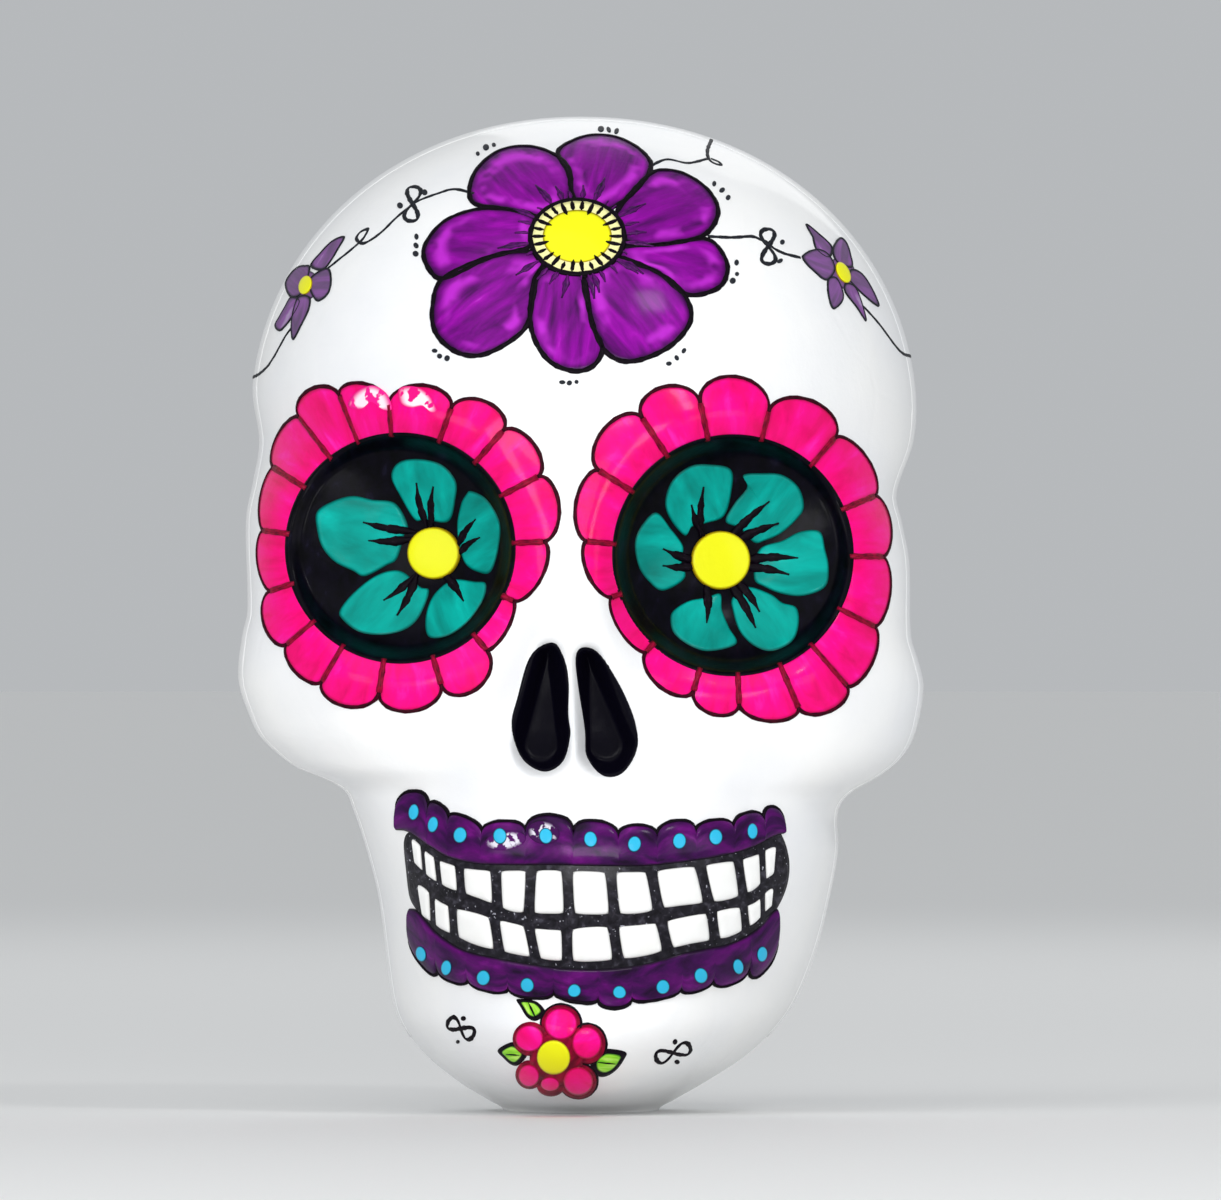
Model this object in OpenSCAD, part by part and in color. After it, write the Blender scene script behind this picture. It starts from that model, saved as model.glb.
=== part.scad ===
// Papier-mache calavera: a hollow paper skull, moulded as a face half and a back half,
// joined by paper strips, with dished cups behind the eye openings, pulp teeth and gums
// pressed on the jaw, and a card ring and disc closing the neck.
// Frame: millimetres, +Z up, the face looks along -Y, origin under the middle of the box.

/* [Head] */
// Height from the table to the crown
head_h = 280; // [240:5:320]
// Thickness of the paper wall
wall = 4; // [3:0.5:5]

/* [Eyes] */
// Radius of the eye opening on the head's right
right_eye_r = 31.5; // [29:0.5:32]
// Radius of the eye opening on the head's left
left_eye_r = 33; // [30:0.5:33]
// Depth of each eye cup behind the wall
eye_depth = 13; // [8:1:16]

/* [Teeth] */
// Height of the pulp teeth over the jaw
tooth_rise = 1.8; // [1.2:0.2:2.4]
// Height of the pulp gum bands over the jaw
gum_rise = 2.4; // [1.6:0.2:3]

/* [Seam] */
// Width of the paper strips over the joint
strip_w = 26; // [18:1:34]
// Thickness of the paper strips
strip_t = 0.6; // [0.4:0.1:1]

/* [Neck] */
// Radius of the opening under the neck
neck_r = 18; // [15:0.5:20]
// Height of the card ring inside the neck
ring_h = 18; // [10:1:26]
// Thickness of the card ring and of the disc
card_t = 2; // [1.5:0.5:3]

/* [Hidden] */

// The curves below are drawn for a head of this height, and every piece is scaled from it.
drawn_h = 280;
k = head_h / drawn_h;
skin_gap = 0.3 / k;        // glue line between two pieces
wall_t = wall / k;
crown_z = 194;             // the head is a dome above this level
crown_rise = drawn_h - crown_z;
dome_power = 2.08;         // a little fuller than an ellipsoid

// Curves: each is a list of [height, value] stations that a smooth line passes through.
// Half width of the face and jaw on the head's right, which is -X.
right_half = [[0, 22], [3, 26.5], [8, 34.5], [16, 44], [25, 50.5], [33, 53], [60, 56.5], [74, 60],
              [86, 64], [91, 66.5], [94, 72], [97, 79.5], [101, 85], [106, 90], [112, 93],
              [122, 96], [134, 95], [141, 93.5], [167, 94], [178, 92], [189, 90.5], [206, 93]];
// Half width of the face and jaw on the head's left, which is +X.
left_half = [[0, 22], [3, 26.5], [8, 35], [16, 47], [25, 56], [33, 61], [46, 66], [60, 69.5],
             [74, 72], [85, 72], [90, 75.5], [94, 82.5], [98, 88], [103, 92], [110, 94.5],
             [120, 96], [127, 94.5], [134, 92.5], [155, 92], [166, 90], [174, 88.5], [189, 93.5], [206, 94.5]];
// Half width of the neck and the back of the head.
back_half = [[0, 22], [10, 30], [40, 37], [80, 50], [120, 69], [160, 84], [194, 93]];
// How far forward the middle of the face, its widest line and the back of the head lie.
front_y = [[0, -48], [3, -64], [8, -80], [15, -91], [24, -97], [34, -96], [46, -98], [66, -100],
           [84, -98], [100, -92], [116, -87], [140, -84], [160, -84], [178, -87], [194, -88]];
widest_y = [[0, 2], [14, -8], [32, -18], [60, -24], [92, -28], [112, -33], [130, -33], [150, -28],
            [170, -18], [194, 0]];
back_y = [[0, 26], [8, 32], [20, 35], [34, 38], [56, 45], [78, 60], [98, 80], [118, 95],
          [145, 103], [170, 106], [194, 106]];
// How square the face is across, from 2 (a true ellipse) to 2.6 (boxy).
squareness = [[0, 2], [30, 2.1], [60, 2.3], [90, 2.35], [120, 2.5], [155, 2.55], [194, 2]];
// How far the nose stands out, and half its width.
nose_rise = [[88, 0], [98, 3], [108, 8], [122, 12], [134, 12], [148, 8], [162, 4], [180, 1], [196, 0]];
nose_half = [[88, 27], [104, 25], [118, 21], [132, 15], [146, 11], [180, 13]];

// Places on the face as [x, z], and the middle lines of the nose and the mouth.
right_eye = [-50.5, 159];
left_eye = [42.5, 157];
nose_x = -2;
mouth_x = 4;

// ---- smooth curves -------------------------------------------------------

function span(v, t, i = 0) = i >= len(t) - 2 || v <= t[i + 1][0] ? i : span(v, t, i + 1);
function slope(t, i) =
    i == 0 || i == len(t) - 1 ? 0 : (t[i + 1][1] - t[i - 1][1]) / (t[i + 1][0] - t[i - 1][0]);
// Cubic curve through the stations of t, level past both ends.
function at(v, t) =
    v <= t[0][0] ? t[0][1]
    : v >= t[len(t) - 1][0] ? t[len(t) - 1][1]
    : let (i = span(v, t), h = t[i + 1][0] - t[i][0], u = (v - t[i][0]) / h)
      (2 * u ^ 3 - 3 * u ^ 2 + 1) * t[i][1] + (u ^ 3 - 2 * u ^ 2 + u) * h * slope(t, i)
      + (3 * u ^ 2 - 2 * u ^ 3) * t[i + 1][1] + (u ^ 3 - u ^ 2) * h * slope(t, i + 1);
function ease(u) = let (v = max(0, min(1, u))) v * v * (3 - 2 * v);
// Soft round bump, 1 in the middle.
function bump(dx, dz, rx, rz) = exp(-(dx / rx) ^ 2 - (dz / rz) ^ 2);
// Quarter of a superellipse: how far out it is at the share s of its half width.
function arc(s, p) = max(0, 1 - s ^ p) ^ (1 / p);

// ---- the head's surface --------------------------------------------------

// Raised ring round an eye opening.
function rim(x, z, eye, r) = 2.5 * exp(-((norm([x, z] - eye) - r - 6) / 6) ^ 2);
// Teardrop hollow of one nostril, from its top point to its low point.
function nostril(x, z, top, low, top_r, low_r) =
    let (v = low - top,
         t = max(0, min(1, ([x, z] - top) * v / (v * v))),
         off = norm([x, z] - top - v * t) - top_r - (low_r - top_r) * t)
    9 * ease(0.5 - off / 7);
// What stands out of the plain face: nose, brow, eye rims, cheeks, muzzle and chin.
function relief(x, z) =
    at(z, nose_rise) * exp(-abs((x - nose_x) / at(z, nose_half)) ^ 3)
    + 3 * bump(abs(x) - 34, z - 197, 34, 12)
    + rim(x, z, right_eye, right_eye_r) + rim(x, z, left_eye, left_eye_r)
    + 4 * bump(abs(x) - 66, z - 120, 17, 15)
    - 5 * bump(abs(x - mouth_x) - 48, z - 94, 14, 12)
    + 3 * exp(-((x - mouth_x) / 46) ^ 4 - ((z - 62) / 30) ^ 4)
    - 2.5 * bump(x - mouth_x, z - 34, 34, 7)
    + 3 * bump(x - 1, z - 17, 24, 12)
    - nostril(x, z, [-9, 129], [-11, 104], 2.5, 7)
    - nostril(x, z, [2, 128], [7, 104], 2.5, 7);

// Figures of the head at height z, that far inside its skin:
// [right half, left half, back half, front, widest line, back, squareness]
function level(z, inset) =
    let (up = max(0, z - crown_z) / (crown_rise - inset),
         d = arc(min(1, up), dome_power),
         m = at(z, widest_y))
    [(at(z, right_half) - inset) * d, (at(z, left_half) - inset) * d, (at(z, back_half) - inset) * d,
     m - (m - at(z, front_y) - inset) * d, m, m + (at(z, back_y) - inset - m) * d, at(z, squareness)];

// How far forward the skin of a level v lies at x.
function front_of(x, z, v) =
    let (s = min(1, abs(x) / (x < 0 ? v[0] : v[1])))
    v[4] - (v[4] - v[3]) * arc(s, v[6]) - relief(x, z) * (1 - s ^ 6);
function face_y(x, z, inset) = front_of(x, z, level(z, inset));

// Half width behind the widest line, where c runs from 0 there to 1 at the back.
function behind(w, v, c) = (v[2] + (w - v[2]) * (1 - ease(2 * c))) * sqrt(max(0, 1 - c * c));
// Point of the skin round a level: a is 0 at the nose, 90 at the widest line, 180 at the back.
function skin(a, z, v) =
    let (w = a < 0 ? v[0] : v[1], x = w * sin(a), c = -cos(a))
    abs(a) <= 90 ? [x, front_of(x, z, v), z]
                 : [sign(a) * behind(w, v, c), v[4] + skin_gap + (v[5] - v[4] - skin_gap) * c, z];

// Heights of the rows of points, closer where the cheeks overhang the jaw.
low_rows = [0, 2, 5, 9, 14, 21, 29, 38, 47, 56, 65, 74, 82, 88, 91, 94, 97, 101, 105, 110, 115, 120,
            125, 130, 135, 141, 149, 157, 165, 173, 180, 187, 194];
dome_rows = [for (a = [9:9:81]) a];
// Row heights of a skin: the inner one starts on the top of the floor.
function heights(inset) =
    [for (z = low_rows) z + inset * (1 - ease(z / 30)),
     for (a = dome_rows) crown_z + (crown_rise - inset) * sin(a)];
neck_y = at(0, widest_y);
// One skin as rows of points over the angles, from the neck opening to the crown.
function half_skin(angles, inset) =
    [[for (a = angles) [neck_r * sin(a), neck_y - neck_r * cos(a) + (abs(a) > 90 ? skin_gap : 0), inset]],
     for (z = heights(inset)) let (v = level(z, inset)) [for (a = angles) skin(a, z, v)]];

// ---- solids from grids of points ----------------------------------------

function quads(rows, cols, first, flip) =
    [for (j = [0:rows - 2], i = [0:cols - 2])
        let (p = first + j * cols + i, q = [p, p + 1, p + cols + 1, p + cols])
        each flip ? [[q[0], q[2], q[1]], [q[0], q[3], q[2]]] : [[q[0], q[1], q[2]], [q[0], q[2], q[3]]]];
// Closed solid between a grid of points and a second grid of the same size behind it.
module slab(front, back) {
    rows = len(front);
    cols = len(front[0]);
    n = rows * cols;
    edge = concat([for (i = [0:cols - 1]) i],
                  [for (j = [1:rows - 1]) j * cols + cols - 1],
                  [for (i = [cols - 2:-1:0]) (rows - 1) * cols + i],
                  [for (j = [rows - 2:-1:1]) j * cols]);
    sides = [for (i = [0:len(edge) - 1])
        let (a = edge[i], b = edge[(i + 1) % len(edge)])
        each [[a, n + b, n + a], [a, b, n + b]]];
    polyhedron(points = [for (g = [front, back], row = g, p = row) p],
               faces = concat(quads(rows, cols, 0, true), quads(rows, cols, n, false), sides),
               convexity = 8);
}

// Closed solid like slab, whose last row comes together in one crown point on each grid.
module domed_slab(front, back, front_top, back_top) {
    rows = len(front);
    cols = len(front[0]);
    n = rows * cols;
    last = (rows - 1) * cols;
    rim_down = concat([for (j = [rows - 1:-1:0]) j * cols], [for (i = [1:cols - 1]) i],
                      [for (j = [1:rows - 1]) j * cols + cols - 1]);
    sides = [for (i = [0:len(rim_down) - 2])
        let (a = rim_down[i], b = rim_down[i + 1])
        each [[a, n + b, n + a], [a, b, n + b]]];
    tops = [for (i = [0:cols - 2]) each [[last + i, 2 * n, last + i + 1],
                                         [n + last + i, n + last + i + 1, 2 * n + 1]]];
    a = last + cols - 1;
    ends = [[a, 2 * n + 1, n + a], [a, 2 * n, 2 * n + 1], [2 * n, n + last, 2 * n + 1], [2 * n, last, n + last]];
    polyhedron(points = [for (g = [front, back], row = g, p = row) p, front_top, back_top],
               faces = concat(quads(rows, cols, 0, true), quads(rows, cols, n, false), sides, tops, ends),
               convexity = 8);
}

// ---- shells --------------------------------------------------------------

face_angles = [for (i = [-23:23]) 90 * sign(i) * abs(i / 23) ^ 1.35];
back_angles = [for (i = [0:24]) 90 + 7.5 * i];
crown_y = at(crown_z, widest_y);

module face_shell() {
    color("ghostwhite") resize([0, 0, 0]) difference() {
        scale(k) domed_slab(half_skin(face_angles, 0), half_skin(face_angles, wall_t),
                            [0, crown_y, drawn_h], [0, crown_y, drawn_h - wall_t]);
        eye_bore(right_eye, right_eye_r);
        eye_bore(left_eye, left_eye_r);
    }
}
module eye_bore(eye, r) {
    scale(k) translate([eye[0], -20, eye[1]]) rotate([90, 0, 0]) cylinder(r = r, h = 120, $fn = 48);
}
module back_shell() {
    turned = [for (a = back_angles) a > 180 ? a - 360 : a];
    color("ghostwhite") scale(k)
        domed_slab(half_skin(turned, 0), half_skin(turned, wall_t),
                   [0, crown_y + skin_gap, drawn_h], [0, crown_y + skin_gap, drawn_h - wall_t]);
}

// ---- paper strips over the joint ----------------------------------------

// Point of the skin beside the joint at height z, dy in front of it (negative) or behind it.
function beside(side, z, dy, inset) =
    let (v = level(z, inset), w = side < 0 ? v[0] : v[1])
    [side * (dy < 0 ? w * arc(dy / (v[3] - v[4]), v[6]) : behind(w, v, dy / (v[5] - v[4]))), v[4] + dy, z];
// Point of the skin over the crown: t runs from 0 at the right side to 180 at the left.
function over(t, dy, inset) =
    let (v = level(crown_z, inset),
         off = abs(dy) / (dy < 0 ? v[4] - v[3] : v[5] - v[4]),
         across = cos(t) * sqrt(1 - off * off))
    beside(t < 90 ? -1 : 1, crown_z + (crown_rise - inset) * arc(norm([across, off]), dome_power), dy, inset);
strip_steps = [1, 0.5, 0, -0.5, -1];
strip_foot = 21;           // the strips end this far above the table
function strip(inset) =
    let (side = [for (z = low_rows) if (z >= strip_foot) z])
    [for (z = side) [for (s = strip_steps) beside(-1, z, s * strip_w / 2, inset)],
     for (t = [9:9:171]) [for (s = strip_steps) over(t, s * strip_w / 2, inset)],
     for (i = [len(side) - 1:-1:0]) [for (s = strip_steps) beside(1, side[i], s * strip_w / 2, inset)]];

module seam_strip_outer() {
    color("white") scale(k) slab(strip(-skin_gap - strip_t), strip(-skin_gap));
}
module seam_strip_inner() {
    color("wheat") scale(k) slab(strip(wall_t + 2 * skin_gap), strip(wall_t + 2 * skin_gap + strip_t));
}

// ---- eye cups ------------------------------------------------------------

cup_lip = 3.5;             // how far a cup's lip reaches behind the wall
cup_t = 2.5;
cup_steps = [for (i = [-8:8]) i / 8];
// Grid of points over a disc, from the grid of a square.
function cup(eye, r, back) =
    [for (v = cup_steps) [for (u = cup_steps)
        let (p = [u * sqrt(1 - v * v / 2), v * sqrt(1 - u * u / 2)] * (r + cup_lip),
             x = eye[0] + p[0], z = eye[1] + p[1],
             dish = eye_depth * (1 - min(1, norm(p) / r) ^ 2.4))
        [x, face_y(x, z, wall_t + skin_gap) + dish + back, z]]];
module eye_cup(eye, r) {
    color([0.05, 0.05, 0.07]) scale(k) slab(cup(eye, r, 0), cup(eye, r, cup_t));
}
module eye_cup_right() {
    eye_cup(right_eye, right_eye_r);
}
module eye_cup_left() {
    eye_cup(left_eye, left_eye_r);
}

// ---- mouth ---------------------------------------------------------------

// Edges of the mouth: each sags to its lowest at its own middle.
function sag(x, low, middle, reach) = low + ((x - middle) / reach) ^ 2;
function gum_top(x) = sag(x, 84, 4, 18.5);
function upper_edge(x) = sag(x, 69.5, 4, 23);
function bite(x) = sag(x, 55, 8, 16.4);
function lower_edge(x) = sag(x, 43.5, 4, 16);
function gum_foot(x) = sag(x, 32, 4, 15);
tooth_gap = 1.2;
// Where the gaps between the teeth lie across the face, and where the gums' scallops meet.
upper_gaps = [-47, -43.7, -39.8, -33.7, -23.3, -14.1, -3.5, 8.8, 20.6, 34.4, 44.7, 50.8, 54.6];
lower_gaps = [-45.4, -41.2, -35.7, -23.3, -13.5, -3.8, 9.7, 23.3, 36.9, 45.9, 50.7, 53.7];
upper_notches = [-50.5, -42.4, -36.7, -27.4, -15.3, -2.1, 10.4, 21.2, 31.9, 42.4, 50.9, 56.6];
lower_notches = [-47, -39.8, -31.3, -20.1, -7.5, 4.8, 14.1, 27.9, 36.8, 46.8, 50.9, 55.5];
// Point over the jaw's skin.
function raised(x, z, rise) = [x, face_y(x, z, 0) - rise, z];

tile_steps = [-1, -0.6, 0, 0.6, 1];
// One pulp tooth between two gaps; its low and high edges are functions of x.
module tooth(gap, next_gap, low, high) {
    x0 = gap + tooth_gap / 2;
    x1 = next_gap - tooth_gap / 2;
    flat = [for (v = tile_steps) [for (u = tile_steps)
        let (x = (x0 + x1 + (x1 - x0) * u * sqrt(1 - v * v / 4)) / 2,
             m = (high(x) + low(x)) / 2,
             h = (high(x) - low(x) - tooth_gap) / 2)
        [x, m + h * v * sqrt(1 - u * u / 4), 1 - 0.5 * max(abs(u), abs(v)) ^ 3]]];
    slab([for (row = flat) [for (p = row) raised(p[0], p[1], skin_gap + (tooth_rise - skin_gap) * p[2])]],
         [for (row = flat) [for (p = row) raised(p[0], p[1], skin_gap)]]);
}
module tooth_row(gaps, low, high) {
    color("white") scale(k) for (i = [1:len(gaps) - 1]) tooth(gaps[i - 1], gaps[i], low, high);
}
module upper_teeth() {
    tooth_row(upper_gaps, function (x) bite(x), function (x) upper_edge(x));
}
module lower_teeth() {
    tooth_row(lower_gaps, function (x) lower_edge(x), function (x) bite(x));
}

scallop_steps = 6;
scallop_depth = 0.3;       // share of the band's height that the notches cut in
// One gum band; its outer edge, away from the teeth, runs in scallops between the notches.
module gum(notches, outer, inner) {
    last = len(notches) - 2;
    outline = [for (i = [0:last]) for (j = [0:scallop_steps - (i < last ? 1 : 0)])
        let (u = j / scallop_steps, x = notches[i] + (notches[i + 1] - notches[i]) * u)
        [x, outer(x) + (inner(x) - outer(x)) * scallop_depth * (1 - sin(180 * u)), inner(x)]];
    shares = outer(mouth_x) > inner(mouth_x) ? [1, 0.66, 0.33, 0] : [0, 0.33, 0.66, 1];
    swell = function (s) 0.5 + 0.5 * sin(180 * s);
    color([0.36, 0, 0.44]) scale(k)
        slab([for (s = shares) [for (p = outline)
                 raised(p[0], p[1] + (p[2] - p[1]) * s, skin_gap + (gum_rise - skin_gap) * swell(s))]],
             [for (s = shares) [for (p = outline) raised(p[0], p[1] + (p[2] - p[1]) * s, skin_gap)]]);
}
module upper_gum() {
    gum(upper_notches, function (x) gum_top(x), function (x) upper_edge(x) + tooth_gap / 2);
}
module lower_gum() {
    gum(lower_notches, function (x) gum_foot(x), function (x) lower_edge(x) - tooth_gap / 2);
}

// ---- neck ----------------------------------------------------------------

module neck_ring() {
    ring_r = neck_r * k - 0.4;
    color("tan") translate([0, neck_y * k, card_t + 0.3]) difference() {
        cylinder(r = ring_r, h = ring_h, $fn = 64);
        translate([0, 0, -1]) cylinder(r = ring_r - card_t, h = ring_h + 2, $fn = 64);
    }
}
module base_disc() {
    color("tan") translate([0, neck_y * k, 0]) cylinder(r = neck_r * k - 0.4, h = card_t, $fn = 64);
}

face_shell();
back_shell();
seam_strip_outer();
seam_strip_inner();
eye_cup_right();
eye_cup_left();
upper_teeth();
lower_teeth();
upper_gum();
lower_gum();
neck_ring();
base_disc();
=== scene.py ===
# %% [markdown]
# # A painted papier-mache skull
# The real object is a paper head, moulded over a clay form in two halves, pasted together,
# whitened and then painted by hand with flowers and vines under a glossy varnish.
# Its form is one smooth surface, so this lesson first writes that surface as a formula and then
# uses the same formula twice: to make the paper shells, and to lay every brush stroke on them.

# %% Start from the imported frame
from math import atan, radians

import bpy
import numpy as np
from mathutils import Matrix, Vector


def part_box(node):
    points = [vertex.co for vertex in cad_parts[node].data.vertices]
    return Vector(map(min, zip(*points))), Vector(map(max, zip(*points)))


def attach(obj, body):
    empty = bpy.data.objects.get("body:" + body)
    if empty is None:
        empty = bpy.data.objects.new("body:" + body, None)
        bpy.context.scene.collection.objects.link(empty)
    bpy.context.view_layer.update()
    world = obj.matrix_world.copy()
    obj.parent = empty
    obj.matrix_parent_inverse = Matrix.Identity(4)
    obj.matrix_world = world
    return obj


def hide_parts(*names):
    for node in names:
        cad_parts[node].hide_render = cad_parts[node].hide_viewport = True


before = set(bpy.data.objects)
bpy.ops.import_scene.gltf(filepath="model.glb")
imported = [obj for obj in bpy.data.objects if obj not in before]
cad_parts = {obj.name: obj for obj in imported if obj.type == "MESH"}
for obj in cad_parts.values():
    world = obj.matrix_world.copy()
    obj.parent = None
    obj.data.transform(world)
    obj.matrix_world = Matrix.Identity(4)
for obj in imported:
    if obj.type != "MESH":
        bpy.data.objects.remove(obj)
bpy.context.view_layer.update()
low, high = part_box("face_shell")
DRAWN_H = 280.0                       # the curves below are drawn for a head 280 units tall
UNIT = (high.z - low.z) / DRAWN_H     # metres in one unit, about a millimetre
print("one unit is", round(UNIT * 1000, 4), "mm; nodes:", len(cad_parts))

# %% [markdown]
# ## The curves of the head
# A skull isn't a simple solid, but every level cut through it is an oval. So the head is a stack
# of ovals, whose widths and depths change with height along smooth curves. Each curve is a few
# [height, value] stations, the same ones as the part's own design.

# %% Stations of the level ovals
RIGHT_HALF = [[0, 22], [3, 26.5], [8, 34.5], [16, 44], [25, 50.5], [33, 53], [60, 56.5], [74, 60],
              [86, 64], [91, 66.5], [94, 72], [97, 79.5], [101, 85], [106, 90], [112, 93],
              [122, 96], [134, 95], [141, 93.5], [167, 94], [178, 92], [189, 90.5], [206, 93]]
LEFT_HALF = [[0, 22], [3, 26.5], [8, 35], [16, 47], [25, 56], [33, 61], [46, 66], [60, 69.5],
             [74, 72], [85, 72], [90, 75.5], [94, 82.5], [98, 88], [103, 92], [110, 94.5],
             [120, 96], [127, 94.5], [134, 92.5], [155, 92], [166, 90], [174, 88.5], [189, 93.5],
             [206, 94.5]]
BACK_HALF = [[0, 22], [10, 30], [40, 37], [80, 50], [120, 69], [160, 84], [194, 93]]
FRONT_Y = [[0, -48], [3, -64], [8, -80], [15, -91], [24, -97], [34, -96], [46, -98], [66, -100],
           [84, -98], [100, -92], [116, -87], [140, -84], [160, -84], [178, -87], [194, -88]]
WIDEST_Y = [[0, 2], [14, -8], [32, -18], [60, -24], [92, -28], [112, -33], [130, -33], [150, -28],
            [170, -18], [194, 0]]
BACK_Y = [[0, 26], [8, 32], [20, 35], [34, 38], [56, 45], [78, 60], [98, 80], [118, 95],
          [145, 103], [170, 106], [194, 106]]
SQUARENESS = [[0, 2], [30, 2.1], [60, 2.3], [90, 2.35], [120, 2.5], [155, 2.55], [194, 2]]
NOSE_RISE = [[88, 0], [98, 3], [108, 8], [122, 12], [134, 12], [148, 8], [162, 4], [180, 1], [196, 0]]
NOSE_HALF = [[88, 27], [104, 25], [118, 21], [132, 15], [146, 11], [180, 13]]
CROWN_Z = 194.0                       # from this height on the ovals shrink to the crown
CROWN_RISE = DRAWN_H - CROWN_Z
DOME_POWER = 2.08                     # 2 would make the dome an exact ellipsoid
WALL = 4.0                            # thickness of the pasted paper
NECK_R = 18.0                         # radius of the neck opening in the base
NECK_Y = 2.0
RIGHT_EYE = (-50.5, 159.0)            # middles of the eyes, across and up
LEFT_EYE = (42.5, 157.0)
RIGHT_EYE_R = 31.5
LEFT_EYE_R = 33.0
EYES = ((RIGHT_EYE, RIGHT_EYE_R), (LEFT_EYE, LEFT_EYE_R))
EYE_DEPTH = 13.0
MOUTH_X = 4.0                         # middle lines of the mouth and of the nose
NOSE_X = -2.0
print("head", DRAWN_H, "units tall and", RIGHT_HALF[-1][1] + LEFT_HALF[-1][1], "wide under the crown")


# %% Curve and bump helpers
def at(v, stations):
    """Smooth curve through the stations: a cubic in each span, whose slope at a station is the
    slope between its neighbours and is level at both ends."""
    t = np.array(stations, float)
    h = np.diff(t[:, 0])
    m = np.zeros(len(t))
    m[1:-1] = (t[2:, 1] - t[:-2, 1]) / (t[2:, 0] - t[:-2, 0])
    v = np.clip(v, t[0, 0], t[-1, 0])
    i = np.clip(np.searchsorted(t[:, 0], v, side="left") - 1, 0, len(h) - 1)
    u = (v - t[i, 0]) / h[i]
    return ((2 * u**3 - 3 * u**2 + 1) * t[i, 1] + (u**3 - 2 * u**2 + u) * h[i] * m[i]
            + (3 * u**2 - 2 * u**3) * t[i + 1, 1] + (u**3 - u**2) * h[i] * m[i + 1])


def ease(u):
    """0 below 0, 1 above 1, and a smooth S between."""
    u = np.clip(u, 0, 1)
    return u * u * (3 - 2 * u)


def bump(dx, dz, rx, rz):
    """Soft round bump: e to the minus (dx/rx)^2 + (dz/rz)^2."""
    return np.exp(-(dx / rx) ** 2 - (dz / rz) ** 2)


def arc(s, p):
    """Quarter of a superellipse: (1 - s^p)^(1/p)."""
    return np.maximum(0, 1 - np.abs(s) ** p) ** (1 / p)


def beside(*columns):
    """Arrays spread to their common shape and put side by side along a new last axis."""
    return np.stack(np.broadcast_arrays(*columns), -1)


def circle(n):
    """n even angles round a circle, in radians."""
    return np.linspace(0, 2 * np.pi, n, endpoint=False)


print("width at the cheekbones", round(float(at(120, RIGHT_HALF) + at(120, LEFT_HALF)), 1), "units")


# %% [markdown]
# ## Nose, brow, eyes and cheeks
# Everything that stands out of the plain oval stack, or is pressed into it, is one height map
# over the face: a sum of soft bumps and hollows. The eyes are round dishes with a soft step at the
# rim, as the paper wall has.

# %% The height map of the face
def rim(x, z, eye, r):
    """Low raised ring, 6 units outside an eye opening."""
    return 2.5 * np.exp(-((np.hypot(x - eye[0], z - eye[1]) - r - 6) / 6) ** 2)


def dish(x, z, eye, r):
    """Depth of an eye: the wall's own step just inside the rim, then a bowl 1 - (d/r)^2.4."""
    d = np.hypot(x - eye[0], z - eye[1])
    return WALL * ease((r + 0.6 - d) / 4.5) + EYE_DEPTH * (1 - np.minimum(1, d / r) ** 2.4)


NOSTRILS = [((-9, 129), (-11, 104), 2.5, 7), ((2, 128), (7, 104), 2.5, 7)]    # top, foot and radii


def teardrop(x, z, top, foot, top_r, foot_r):
    """Distance outside a teardrop: from the line between top and foot, less a radius that grows
    on the way down."""
    vx, vz = foot[0] - top[0], foot[1] - top[1]
    t = np.clip(((x - top[0]) * vx + (z - top[1]) * vz) / (vx * vx + vz * vz), 0, 1)
    return np.hypot(x - top[0] - vx * t, z - top[1] - vz * t) - top_r - (foot_r - top_r) * t


def nostril(x, z, hole):
    """Hollow 9 units deep inside a teardrop, with a soft edge 6 units wide."""
    return 9 * ease(0.5 - teardrop(x, z, *hole) / 6)


def relief(x, z):
    """Sum of the bumps and hollows of the face, in units towards the front."""
    side = np.abs(x - MOUTH_X)
    nose = at(z, NOSE_RISE) * np.exp(-np.abs((x - NOSE_X) / at(z, NOSE_HALF)) ** 3)
    return (nose
            + 3 * bump(np.abs(x) - 34, z - 197, 34, 12)                # brows
            + sum(rim(x, z, *eye) for eye in EYES)
            + 4 * bump(np.abs(x) - 66, z - 120, 17, 15)                # cheekbones
            - 5 * bump(side - 48, z - 94, 14, 12)                      # hollows of the cheeks
            + 3 * np.exp(-(side / 46) ** 4 - ((z - 62) / 30) ** 4)     # swell of the mouth
            - 2.5 * bump(x - MOUTH_X, z - 34, 34, 7)                   # crease over the chin
            + 3 * bump(x - 1, z - 17, 24, 12)                          # chin
            - sum(nostril(x, z, hole) for hole in NOSTRILS)
            - sum(dish(x, z, *eye) for eye in EYES))


print("brow", round(float(relief(34.0, 197.0)), 2), "and eye", round(float(relief(*RIGHT_EYE)), 2), "units")


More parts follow.
